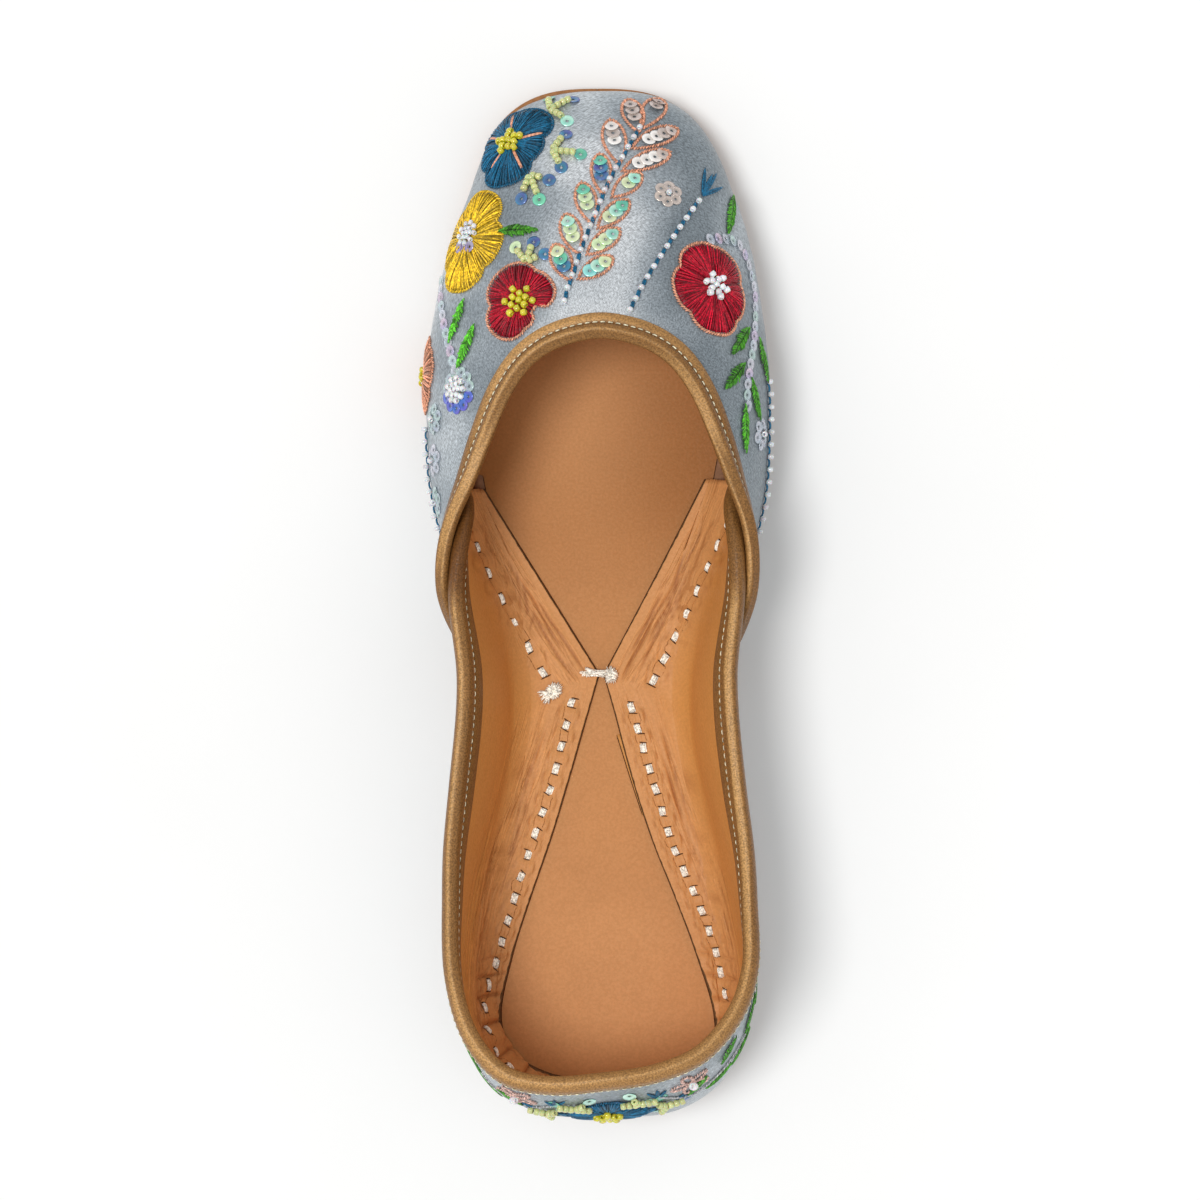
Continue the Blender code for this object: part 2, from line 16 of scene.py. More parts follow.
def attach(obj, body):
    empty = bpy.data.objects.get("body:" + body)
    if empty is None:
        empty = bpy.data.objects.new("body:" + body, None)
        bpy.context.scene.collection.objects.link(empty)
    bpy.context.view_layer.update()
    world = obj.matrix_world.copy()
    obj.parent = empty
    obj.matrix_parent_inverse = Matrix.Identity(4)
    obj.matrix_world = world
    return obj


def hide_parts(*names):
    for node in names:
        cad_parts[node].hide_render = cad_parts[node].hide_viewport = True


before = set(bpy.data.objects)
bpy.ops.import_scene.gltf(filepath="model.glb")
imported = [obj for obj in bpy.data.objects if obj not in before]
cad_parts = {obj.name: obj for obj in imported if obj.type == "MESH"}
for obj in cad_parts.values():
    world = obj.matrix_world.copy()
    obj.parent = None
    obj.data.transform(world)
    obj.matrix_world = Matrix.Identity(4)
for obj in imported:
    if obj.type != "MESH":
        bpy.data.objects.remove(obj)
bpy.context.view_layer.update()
MM = 0.001
RANDOM = np.random.default_rng(7)

# ---------------------------------------------------------------------------------------------
# The last: the same sizes, tables and functions as the solids have
# ---------------------------------------------------------------------------------------------
LENGTH = 0.2515
BALL_WIDTH = 0.0848
INSTEP_HEIGHT = 0.0460
BACK_HEIGHT = 0.0545
HEEL_HEIGHT = 0.0050

OUTSOLE_THICKNESS = 0.0035
INSOLE_THICKNESS = 0.0022
TOE_SPRING = 0.0030
VAMP_WALL = 0.0016
QUARTER_WALL = 0.0018
FLANGE_THICKNESS = 0.0011
BINDING_LEATHER = 0.0007
GAP = 0.0003

HALF_BALL = BALL_WIDTH / 2
SOLE_LENGTH = LENGTH - 0.0010
SOLE_MIDDLE = (LENGTH - SOLE_LENGTH) / 2
BACK_RISE = BACK_HEIGHT / INSTEP_HEIGHT

# Underside of the outsole, as shares of LENGTH from the middle: it rests on the lift as far as
# HEEL_REST, comes down to the ground at TREAD_START and rises again from SPRING_START to the tip
HEEL_REST = -0.270
TREAD_START = 0.050
SPRING_START = 0.320
LIFT_BREAST = -0.275

# Round ends of the sole: how deep each one is, and how square
TOE_DEPTH = 0.0220
TOE_POWER = 2.5
HEEL_DEPTH = 0.0380
HEEL_POWER = 2.0
END_ROOT = 0.35

# How far the upper's foot stands in from the sole's edge
EDGE_MARGIN = 0.0010
TOE_EXTRA_MARGIN = 0.0007

# How a rib is drawn: the pull of the sole's edge on the way its top falls, the least reach of a
# leaning top, and the share of the rib over which a wall's depth turns from level to square
EDGE_PULL = 0.0250
TOP_REACH = 0.45
FOOT_TURN = 0.16

# The quarter runs inside the vamp's wings: how deep, and over which shares of LENGTH it goes in
WING_INSET = VAMP_WALL + BINDING_LEATHER + 3 * GAP
INSET_START = -0.260
INSET_END = -0.080

# The left shoe's small departures from a straight last
HEEL_SWING = 0.0021
THROAT_SWING = 0.0016
RIM_SWING = 0.0004
TOE_SWING = 0.0006
COUNTER_SKEW = 0.12

SOLE_ROWS = (
    # along: share of LENGTH from the middle.  half: share of half the ball width
    ("along", "half"),
    (
        (-0.500, 0.790),
        (-0.360, 0.790),
        (-0.270, 0.735),
        (-0.185, 0.665),
        (-0.100, 0.648),
        (0.000, 0.715),
        (0.085, 0.858),
        (0.160, 0.935),
        (0.220, 0.952),
        (0.290, 0.908),
        (0.360, 0.825),
        (0.424, 0.705),
        (0.500, 0.605),
    ),
)

RIB_ROWS = (
    # station: share of the way from heel to toe along the feather line
    # along, out: the rib's top, as shares of LENGTH and of half the ball width
    # rise: height of the top as a share of INSTEP_HEIGHT
    # foot_lean, foot_pull: the rib's direction off its foot, degrees outward, and its strength
    # top_lean, top_pull: the same at the top, degrees inward; a pull is a share of the rise
    ("station", "along", "out", "rise", "foot_lean", "foot_pull", "top_lean", "top_pull"),
    (
        (0.000, -0.4590, 0.000, BACK_RISE, 30, 0.34, 18, 0.26),
        (0.045, -0.4570, 0.300, 1.165, 34, 0.38, 18, 0.26),
        (0.090, -0.4435, 0.555, 1.140, 34, 0.40, 16, 0.26),
        (0.140, -0.4060, 0.760, 1.095, 28, 0.36, 10, 0.26),
        (0.190, -0.3560, 0.858, 1.045, 20, 0.33, 2, 0.26),
        (0.250, -0.2800, 0.866, 0.985, 14, 0.33, -8, 0.26),
        (0.330, -0.1800, 0.842, 0.915, 9, 0.33, -24, 0.28),
        (0.415, -0.0750, 0.842, 0.862, 10, 0.33, -24, 0.28),
        (0.490, 0.0150, 0.895, 0.835, 20, 0.36, -8, 0.26),
        (0.540, 0.0700, 0.856, 0.830, 30, 0.44, 12, 0.28),
        (0.585, 0.1180, 0.748, 0.855, 35, 0.50, 30, 0.30),
        (0.640, 0.1580, 0.655, 0.895, 32, 0.48, 43, 0.30),
        (0.710, 0.1960, 0.555, 0.935, 28, 0.46, 54, 0.34),
        (0.775, 0.2220, 0.450, 0.962, 25, 0.44, 61, 0.42),
        (0.840, 0.2385, 0.335, 0.980, 19, 0.41, 65, 0.50),
        (0.900, 0.2480, 0.215, 0.992, 12, 0.38, 67, 0.56),
        (0.950, 0.2530, 0.105, 0.998, 8, 0.37, 68, 0.60),
        (1.000, 0.2550, 0.000, 1.000, 6, 0.37, 68, 0.61),
    ),
)

WING_END = -0.0860
WING_ROWS = (
    # The vamp's rear edge: height of its top at each place, as a share of INSTEP_HEIGHT
    ("along", "rise"),
    (
        (WING_END, 0.145),
        (-0.0810, 0.270),
        (-0.0730, 0.410),
        (-0.0620, 0.540),
        (-0.0470, 0.655),
        (-0.0280, 0.738),
        (-0.0040, 0.790),
        (0.0300, 0.815),
        (0.0700, 0.835),
    ),
)
# In front of the wing the vamp's top runs up to the throat over these shares of LENGTH
WING_JOIN_START = 0.035
WING_JOIN_END = 0.075

QUARTER_FRONT = 0.1050
QUARTER_FRONT_ROWS = (
    # The quarter's top line where it dips inside the vamp
    ("along", "rise"),
    (
        (0.0150, 0.840),
        (0.0450, 0.800),
        (0.0750, 0.730),
        (QUARTER_FRONT, 0.620),
    ),
)
QUARTER_DIP_START = -0.010
QUARTER_DIP_END = 0.030

FLANGE_ROWS = (
    # The cut edge of the turned-in leather behind the crossing.
    # wall: station of the wall beside it.  along: share of LENGTH
    # left, right: how far each side's edge stands off the middle, as shares of half the ball width
    ("wall", "along", "left", "right"),
    (
        (0.400, -0.0740, 0.010, 0.010),
        (0.372, -0.1130, 0.080, 0.072),
        (0.335, -0.1660, 0.175, 0.150),
        (0.285, -0.2340, 0.305, 0.270),
        (0.240, -0.2930, 0.435, 0.400),
        (0.190, -0.3500, 0.550, 0.515),
        (0.145, -0.4050, 0.625, 0.600),
        (0.100, -0.4420, 0.570, 0.570),
        (0.055, -0.4640, 0.350, 0.350),
        (0.000, -0.4690, 0.000, 0.000),
    ),
)
# The same for the straps' front ends, which run straight to the crossing
STRAP_FRONT = (0.585, 0.1060, 0.665, 0.665)
# The bend between wall and insole: how far it reaches over the insole, the most of the leather's
# width there that it takes, and the share of the wall's height that it starts from
FLANGE_TURN = 0.0070
FLANGE_TURN_SHARE = 0.55
FLANGE_BEND_FROM = 0.22

# Folded strips on the top edges: how far each reaches down outside and inside, how high its roll
# stands, and how far below the edge its seam runs
VAMP_STRIP = 0.0043
VAMP_ROLL = 0.0018
VAMP_SEAM = 0.00175

QUARTER_STRIP_OUTSIDE = 0.0030
QUARTER_STRIP_INSIDE = 0.0065
QUARTER_SEAM = 0.0022
QUARTER_ROLL = 0.0019


def smoothstep(low, high, value):
    share = np.clip((np.asarray(value, float) - low) / (high - low), 0.0, 1.0)
    return share * share * (3.0 - 2.0 * share)


def between(start, full, fading, gone, value):
    """Rises from 0 to 1 between the first two places and falls back between the last two."""
    return smoothstep(start, full, value) * (1.0 - smoothstep(fading, gone, value))


def hill(value, width):
    """A round hill of height 1 about 0."""
    return np.exp(-((value / width) ** 2))


def lengths_along(points):
    """How far along a line of points each of them lies."""
    steps = np.linalg.norm(np.diff(points, axis=0), axis=-1)
    return np.concatenate([[0.0], np.cumsum(steps)])


def through(places, values, at):
    """A smooth curve through the rows of a table, read at one or many places."""
    places = np.asarray(places, float)
    values = np.asarray(values, float)
    at = np.asarray(at, float)
    slopes = np.gradient(values, places)
    low = np.clip(np.searchsorted(places, at) - 1, 0, len(places) - 2)
    width = places[low + 1] - places[low]
    share = np.clip((at - places[low]) / width, 0.0, 1.0)
    rest = 1.0 - share
    return (
        values[low] * (1.0 + 2.0 * share) * rest**2
        + values[low + 1] * (3.0 - 2.0 * share) * share**2
        + width * (slopes[low] * share * rest**2 - slopes[low + 1] * rest * share**2)
    )


def column(table, name):
    names, rows = table
    return np.array([row[names.index(name)] for row in rows], float)


def named_rows(table):
    """Each row of a table as a dictionary."""
    names, rows = table
    return [dict(zip(names, row)) for row in rows]


def sole_half_width(along):
    """Half the sole's width at this share of LENGTH, with the round ends taken off."""
    body = HALF_BALL * through(column(SOLE_ROWS, "along"), column(SOLE_ROWS, "half"), along)
    y = along * LENGTH
    toe_tip = SOLE_MIDDLE + SOLE_LENGTH / 2
    heel_tip = SOLE_MIDDLE - SOLE_LENGTH / 2
    into_toe = np.clip(1.0 - (toe_tip - y) / TOE_DEPTH, 0.0, 1.0)
    into_heel = np.clip(1.0 - (y - heel_tip) / HEEL_DEPTH, 0.0, 1.0)
    toe = (1.0 - into_toe**TOE_POWER) ** END_ROOT
    heel = (1.0 - into_heel**HEEL_POWER) ** END_ROOT
    return body * toe * heel


def trace_outline():
    """The sole's edge on the +X side from heel to toe: stations, points and outward normals."""
    turn = np.linspace(0.0, math.pi, 4001)
    y = SOLE_MIDDLE - SOLE_LENGTH / 2 * np.cos(turn)
    x = sole_half_width(y / LENGTH)
    x[0] = x[-1] = 0.0
    length = np.concatenate([[0.0], np.cumsum(np.hypot(np.diff(x), np.diff(y)))])
    station = length / length[-1]
    even = np.linspace(0.0, 1.0, 601)
    x = np.interp(even, station, x)
    y = np.interp(even, station, y)
    across = np.gradient(y)
    forward = -np.gradient(x)
    size = np.hypot(across, forward)
    across, forward = across / size, forward / size
    across[0], forward[0] = 0.0, -1.0
    across[-1], forward[-1] = 0.0, 1.0
    return even, x, y, across, forward


OUTLINE = trace_outline()


def fold(station):
    """Stations past either end lie on the other side of the shoe."""
    station = np.asarray(station, float)
    side = np.where((station < 0.0) | (station > 1.0), -1.0, 1.0)
    station = np.abs(station)
    return np.where(station > 1.0, 2.0 - station, station), side


def edge_point(station, inset):
    """A point in from the sole's edge, and the outward direction there."""
    near, side = fold(station)
    even, x, y, across, forward = OUTLINE
    out = np.stack([np.interp(near, even, across), np.interp(near, even, forward)], -1)
    out /= np.linalg.norm(out, axis=-1, keepdims=True)
    point = np.stack([np.interp(near, even, x), np.interp(near, even, y)], -1)
    point = point - out * np.asarray(inset)[..., None]
    turn = np.stack([side, np.ones_like(side)], -1)
    return point * turn, out * turn


def edge_along(station):
    """How far along the shoe the sole's edge is at this station, as a share of LENGTH."""
    return edge_point(station, 0.0)[0][..., 1] / LENGTH


def station_at(along):
    """The station whose point on the sole's edge lies at this share of LENGTH."""
    even, _, y, _, _ = OUTLINE
    return np.interp(along * LENGTH, y, even)


def sole_floor(y):
    """Height of the outsole's underside: on the heel, through the waist, flat tread, toe spring."""
    along = y / LENGTH
    heel = HEEL_HEIGHT * (1.0 - smoothstep(HEEL_REST, TREAD_START, along))
    toe = TOE_SPRING * np.clip((along - SPRING_START) / (0.5 - SPRING_START), 0.0, 1.0) ** 2
    return heel + toe


def feather_height(y):
    return sole_floor(y) + OUTSOLE_THICKNESS + GAP


def lasted(points):
    """The left shoe's swing: heel and throat towards the inner side, counter turned a little."""
    x, y, z = points[..., 0], points[..., 1], points[..., 2]
    back = np.clip((0.20 * LENGTH - y) / (0.54 * LENGTH), 0.0, 1.2)
    throat = smoothstep(0.45, 0.95, z / INSTEP_HEIGHT)
    throat = throat * smoothstep(-0.02, 0.14, y / LENGTH) * (1 - smoothstep(0.27, 0.42, y / LENGTH))
    high = smoothstep(0.30, 1.10, z / INSTEP_HEIGHT)
    rear = smoothstep(-0.30, -0.46, y / LENGTH)
    rim = high * smoothstep(-0.08, -0.20, y / LENGTH)
    toe = smoothstep(0.40, 0.50, y / LENGTH)
    swung = x + HEEL_SWING * back**2 + THROAT_SWING * throat - RIM_SWING * rim - TOE_SWING * toe
    turned = y + COUNTER_SKEW * x * high * rear
    return np.stack([swung, turned, z], -1)


def rib_value(name, station):
    """One column of the rib table, carried round both ends of the shoe."""
    places = column(RIB_ROWS, "station")
    values = column(RIB_ROWS, name)
    sign = -1.0 if name == "out" else 1.0
    places = np.concatenate([-places[3:0:-1], places, 2.0 - places[-2:-5:-1]])
    values = np.concatenate([sign * values[3:0:-1], values, sign * values[-2:-5:-1]])
    return through(places, values, station)


def last_point(station, share):
    """A point on the last's skin: share 0 at the feather line, 1 at the top of the rib."""
    station, share = np.broadcast_arrays(np.asarray(station, float), np.asarray(share, float))
    near, side = fold(station)
    margin = EDGE_MARGIN + TOE_EXTRA_MARGIN * smoothstep(0.90, 1.0, near)
    foot_xy, out = edge_point(station, margin)
    foot = np.concatenate([foot_xy, feather_height(foot_xy[..., 1])[..., None]], -1)
    top = np.stack(
        [
            rib_value("out", near) * HALF_BALL * side,
            rib_value("along", near) * LENGTH,
            rib_value("rise", near) * INSTEP_HEIGHT,
        ],
        -1,
    )
    reach = top[..., 2] - foot[..., 2]
    away = out * EDGE_PULL + (foot - top)[..., :2]
    away /= np.linalg.norm(away, axis=-1, keepdims=True)
    foot_lean = np.radians(rib_value("foot_lean", near))
    top_lean = np.radians(rib_value("top_lean", near))
    foot_pull = (rib_value("foot_pull", near) * reach)[..., None]
    top_pull = (rib_value("top_pull", near) * reach)[..., None]
    rise = np.concatenate([out * np.sin(foot_lean)[..., None], np.cos(foot_lean)[..., None]], -1)
    drop = np.concatenate([away * np.sin(top_lean)[..., None], -np.cos(top_lean)[..., None]], -1)
    # A steep rib needs little pull at its top, a low one reaches far over the toes
    span = np.linalg.norm((foot - top)[..., :2], axis=-1)[..., None]
    top_pull = np.maximum(top_pull, TOP_REACH * span * np.abs(np.sin(top_lean))[..., None])
    p0, p1, p2, p3 = foot, foot + rise * foot_pull, top + drop * top_pull, top
    s = share[..., None]
    r = 1.0 - s
    return lasted(p0 * r**3 + 3 * p1 * s * r**2 + 3 * p2 * s**2 * r + p3 * s**3)


STEP = 1e-4


def last_slopes(station, share):
    """How the skin moves with the station and with the share of the rib."""
    along = last_point(station + STEP, share) - last_point(station - STEP, share)
    low = np.maximum(share - STEP, 0.0)
    up = last_point(station, share + STEP) - last_point(station, low)
    return along / (2 * STEP), up / (share + STEP - low)[..., None]


def skin(station, share, depth=0.0):
    """A point this deep inside the last's skin. By the sole the depth is measured level."""
    station, share, depth = np.broadcast_arrays(
        np.asarray(station, float), np.asarray(share, float), np.asarray(depth, float)
    )
    along, up = last_slopes(station, share)
    normal = np.cross(along, up)
    normal[..., 2] *= smoothstep(0.0, FOOT_TURN, share)
    normal /= np.linalg.norm(normal, axis=-1, keepdims=True)
    return last_point(station, share) - normal * depth[..., None]


def share_at_height(station, height):
    """The share of each rib at which it reaches this height."""
    tries = np.linspace(0.0, 1.0, 101)
    found = [
        np.interp(h, last_point(np.full(101, s), tries)[:, 2], tries)
        for s, h in zip(np.ravel(station), np.ravel(height))
    ]
    return np.array(found).reshape(np.shape(station))


def rise_in_table(table, near, along):
    """The share of each rib at which it reaches the height that a table gives there."""
    height = INSTEP_HEIGHT * through(column(table, "along"), column(table, "rise"), along)
    return share_at_height(near, height)


def wing_top(station):
    """Top of the vamp's wall as a share of the rib: all of it in front, sloping down at the wing."""
    near, _ = fold(station)
    along = edge_along(near)
    joined = smoothstep(WING_JOIN_START, WING_JOIN_END, along)
    return rise_in_table(WING_ROWS, near, along) * (1 - joined) + joined


def quarter_top(station):
    """Top of the quarter's wall as a share of the rib: all of it, but for the dip in front."""
    near, _ = fold(station)
    along = edge_along(near)
    joined = smoothstep(QUARTER_DIP_START, QUARTER_DIP_END, along)
    return 1.0 - joined * (1.0 - rise_in_table(QUARTER_FRONT_ROWS, near, along))


def quarter_inset(station):
    """The quarter's outer face lies this deep: on the last at the heel, inside the wings in front."""
    return WING_INSET * smoothstep(INSET_START, INSET_END, edge_along(fold(station)[0]))


def edge_frame(top, station, depth):
    """A wall's top edge: the point, the outward normal and the way up off the edge."""
    share = top(station)
    point = skin(station, share, depth(station))
    ahead = skin(station + STEP, top(station + STEP), depth(station + STEP))
    behind = skin(station - STEP, top(station - STEP), depth(station - STEP))
    run = ahead - behind
    run /= np.linalg.norm(run, axis=-1, keepdims=True)
    along, up = last_slopes(station, share)
    normal = np.cross(along, up)
    normal /= np.linalg.norm(normal, axis=-1, keepdims=True)
    off = np.cross(normal, run)
    off /= np.linalg.norm(off, axis=-1, keepdims=True)
    return share, point, normal, off


def down_from_edge(station, share, off, distance):
    """Where a walk of this length down the skin, square to the edge, ends."""
    steps = 4
    for _ in range(steps):
        along, up = last_slopes(station, share)
        basis = np.stack([along, up], -1)
        move = np.linalg.pinv(basis) @ (-off * distance / steps)[..., None]
        station = station + move[..., 0, 0]
        share = np.clip(share + move[..., 1, 0], 0.0, 1.0)
    return station, share


def vamp_depth(station):
    """The vamp's outer face is the last's own skin."""
    return np.zeros_like(np.asarray(station, float))


def insole_inset(station):
    """The insole stops at the inner face of the walls: in the toe that is the vamp's own."""
    wing = between(INSET_START, INSET_END, 0.115, 0.150, edge_along(station))
    toe = smoothstep(0.9, 1.0, station)
    walls = EDGE_MARGIN + QUARTER_WALL + 2 * GAP
    return walls + WING_INSET * wing + TOE_EXTRA_MARGIN * toe


def insole_top(y):
    return feather_height(y) + INSOLE_THICKNESS


# ---------------------------------------------------------------------------------------------
# Meshes
# ---------------------------------------------------------------------------------------------


def grid_quads(rows, columns, start=0, wrap=False, flip=False):
    """Quads of a grid of vertices kept row by row. Wrap joins the last column to the first."""
    across = columns if wrap else columns - 1
    i, j = np.meshgrid(np.arange(rows - 1), np.arange(across), indexing="ij")
    after = (j + 1) % columns
    corners = (i * columns + j, i * columns + after, (i + 1) * columns + after, (i + 1) * columns + j)
    quads = np.stack(corners, -1).reshape(-1, 4) + start
    return quads[:, ::-1] if flip else quads


def add_places(mesh, name, places):
    """A UV map from one place a point."""
    corner = np.empty(len(mesh.loops), np.int32)
    mesh.loops.foreach_get("vertex_index", corner)
    layer = mesh.uv_layers.new(name=name)
    layer.data.foreach_set("uv", np.asarray(places, np.float32).reshape(-1, 2)[corner].ravel())


def add_values(mesh, name, values):
    """An attribute from one value a point."""
    layer = mesh.attributes.new(name, "FLOAT", "POINT")
    layer.data.foreach_set("value", np.asarray(values, np.float32).ravel())


def mesh_object(name, points, faces, materials, slots, cloth=None, rubbed=None):
    """A smooth mesh that rides on the shoe. Cloth holds each point's place on the uncut cloth."""
    mesh = bpy.data.meshes.new(name)
    mesh.from_pydata(np.asarray(points).reshape(-1, 3).tolist(), [], [list(f) for f in faces])
    for material in materials:
        mesh.materials.append(material)
    mesh.polygons.foreach_set("material_index", np.asarray(slots, np.int32))
    if cloth is not None:
        add_places(mesh, "cloth", cloth)
    if rubbed is not None:
        add_values(mesh, "rubbed", rubbed)
    mesh.shade_smooth()
    mesh.validate()
    thing = bpy.data.objects.new(name, mesh)
    bpy.context.scene.collection.objects.link(thing)
    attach(thing, "root")
    return thing


def unit(vectors):
    return vectors / np.maximum(np.linalg.norm(vectors, axis=-1, keepdims=True), 1e-12)


def grid_normals(points):
    return unit(np.cross(np.gradient(points, axis=0), np.gradient(points, axis=1)))


def wall_mesh(name, outer, inner, materials, cloth):
    """A closed wall: material 0 outside and on its edges, material 1 inside."""
    rows, columns = outer.shape[:2]
    count = rows * columns
    out_ids = np.arange(count).reshape(rows, columns)
    in_ids = out_ids + count
    faces = [grid_quads(rows, columns), grid_quads(rows, columns, count, flip=True)]
    slots = [np.zeros(len(faces[0])), np.ones(len(faces[1]))]
    rims = (
        (out_ids[0], in_ids[0], True),
        (out_ids[-1], in_ids[-1], False),
        (out_ids[:, 0], in_ids[:, 0], False),
        (out_ids[:, -1], in_ids[:, -1], True),
    )
    for near, far, flip in rims:
        quads = np.stack([near[:-1], near[1:], far[1:], far[:-1]], -1)
        faces.append(quads[:, ::-1] if flip else quads)
        slots.append(np.zeros(len(quads)))
    points = np.concatenate([outer.reshape(-1, 3), inner.reshape(-1, 3)])
    cloth = np.concatenate([cloth.reshape(-1, 2)] * 2)
    return mesh_object(name, points, np.concatenate(faces), materials, np.concatenate(slots), cloth)


def ring_mesh(name, sections, materials, rubbed, flip=True, second=None):
    """A closed solid through rings of equal count, each end capped. Material 1 follows one line."""
    sections = np.asarray(sections)
    count, around = sections.shape[:2]
    faces = grid_quads(count, around, wrap=True, flip=flip).tolist()
    slots = np.tile(np.arange(around) == (-1 if second is None else second), count - 1)
    ends = (list(range(around)), list(range(count * around - 1, (count - 1) * around - 1, -1)))
    faces += [end if flip else end[::-1] for end in ends]
    slots = np.concatenate([slots, (0, 0)])
    return mesh_object(name, sections.reshape(-1, 3), faces, materials, slots, rubbed=rubbed)


NOISE_WAVES = 9
NOISE_REACH = 4.0


def soft_noise(x, y, scale, seed):
    """A smooth random field between about -1 and 1: a few waves of this length, in any direction."""
    rng = np.random.default_rng(seed)
    total = np.zeros_like(np.asarray(x, float) + y)
    for _ in range(NOISE_WAVES):
        angle = rng.uniform(0, 2 * math.pi)
        stretch = rng.uniform(0.6, 1.7)
        phase = rng.uniform(0, 2 * math.pi)
        run = x * math.cos(angle) + y * math.sin(angle)
        total += np.sin(run * 2 * math.pi / scale * stretch + phase)
    return total / NOISE_REACH


def wave(x, scale, seed):
    """The same along one line."""
    return soft_noise(x, x * 0.0, scale, seed)


# ---------------------------------------------------------------------------------------------
# Materials
# ---------------------------------------------------------------------------------------------


def colour(red, green, blue):
    """A colour as the eye names it, 0 to 255, in the renderer's linear values."""
    values = np.array([red, green, blue]) / 255.0
    linear = np.where(values <= 0.04045, values / 12.92, ((values + 0.055) / 1.055) ** 2.4)
    return (*linear.tolist(), 1.0)


def add_node(material, kind, **settings):
    """A shader node. A setting is the value of an input of that name, or else of a property."""
    made = material.node_tree.nodes.new(kind)
    for name, value in settings.items():
        if name in made.inputs:
            made.inputs[name].default_value = value
        else:
            setattr(made, name, value)
    return made


def link(material, source, target):
    material.node_tree.links.new(source, target)


def new_material(name, **values):
    material = bpy.data.materials.new(name)
    material.use_nodes = True
    shader = material.node_tree.nodes["Principled BSDF"]
    for socket, value in values.items():
        shader.inputs[socket.replace("_", " ")].default_value = value
    material.diffuse_color = shader.inputs["Base Color"].default_value
    return material, shader


def noise(material, where, scale, detail=3.0, roughness=0.55):
    made = add_node(material, "ShaderNodeTexNoise", Scale=scale, Detail=detail, Roughness=roughness)
    link(material, where, made.inputs["Vector"])
    return made.outputs["Fac"]


def ramp(material, value, stops):
    """Colours or greys along a value: stops are (place, colour)."""
    made = add_node(material, "ShaderNodeValToRGB")
    link(material, value, made.inputs["Fac"])
    elements = made.color_ramp.elements
    while len(elements) < len(stops):
        elements.new(0.5)
    for element, (place, shade) in zip(elements, stops):
        element.position = place
        element.color = shade
    return made.outputs["Color"]


def grey(level):
    return (level, level, level, 1.0)


def levels(material, value, *stops):
    """Greys along a value: stops are (place, grey)."""
    return ramp(material, value, [(place, grey(level)) for place, level in stops])


def mixed(material, kind, share, first, second):
    """Blend of two colours or values, each a socket or a constant."""
    made = add_node(material, "ShaderNodeMix", data_type="RGBA", blend_type=kind)
    for socket, value in ((made.inputs[0], share), (made.inputs[6], first), (made.inputs[7], second)):
        if isinstance(value, bpy.types.NodeSocket):
            link(material, value, socket)
        else:
            socket.default_value = value
    return made.outputs[2]


def times(material, first, second):
    return mixed(material, "MULTIPLY", 1.0, first, second)


def bumped(material, height, distance, strength, under=None):
    made = add_node(material, "ShaderNodeBump", Distance=distance, Strength=strength)
    link(material, height, made.inputs["Height"])
    if under is not None:
        link(material, under, made.inputs["Normal"])
    return made.outputs["Normal"]


def own_places(material):
    """The places of the mesh's own axes, in metres."""
    return add_node(material, "ShaderNodeTexCoord").outputs["Object"]


def mapped(material, name):
    """The places of one of the mesh's own UV maps."""
    return add_node(material, "ShaderNodeUVMap", uv_map=name).outputs["UV"]


def own_value(material, name):
    """A value that the mesh carries at each of its points."""
    return add_node(material, "ShaderNodeAttribute", attribute_name=name).outputs["Fac"]


def stretched(material, where, **settings):
    """Places turned and stretched before a texture reads them."""
    made = add_node(material, "ShaderNodeMapping", **settings)
    link(material, where, made.inputs["Vector"])
    return made.outputs["Vector"]


# Painted shade: of a fine crease's dark line, and of the leather's folds
CRACK_SHADE = (0.78, 0.69, 0.60, 1.0)
FOLD_SHADE = (0.62, 0.50, 0.42, 1.0)
# Two sizes of fine creases: waves a metre across them, and how slowly they change along them
CREASE_WAVES = ((360.0, 0.075), (760.0, 0.11))


def crumpled(material, tone):
    """Fine creases that run along the mesh's own "hide" places, where its "crumple" value is high: each a
    painted dark line with a painted highlight on its ridge, and a bump.

    Returns the colour with them, and their height.
    """
    hide = mapped(material, "hide")
    share = own_value(material, "crumple")
    ridges = []
    for scale, long in CREASE_WAVES:
        ridges.append(noise(material, stretched(material, hide, Scale=(long, 1.0, 1.0)), scale))
    for ridge in ridges:
        # Painted shade in each crease's line, a painted highlight on the ridge beside it
        dark = ((0.395, grey(1.0)), (0.42, CRACK_SHADE), (0.44, grey(1.0)))
        line = ramp(material, ridge, (*dark, (0.465, grey(1.17)), (0.50, grey(1.0))))
        tone = mixed(material, "MIX", share, tone, times(material, tone, line))
    height = levels(material, ridges[0], (0.38, 0.5), (0.42, 0.0), (0.47, 0.9), (0.54, 0.5))
    return tone, times(material, height, share)


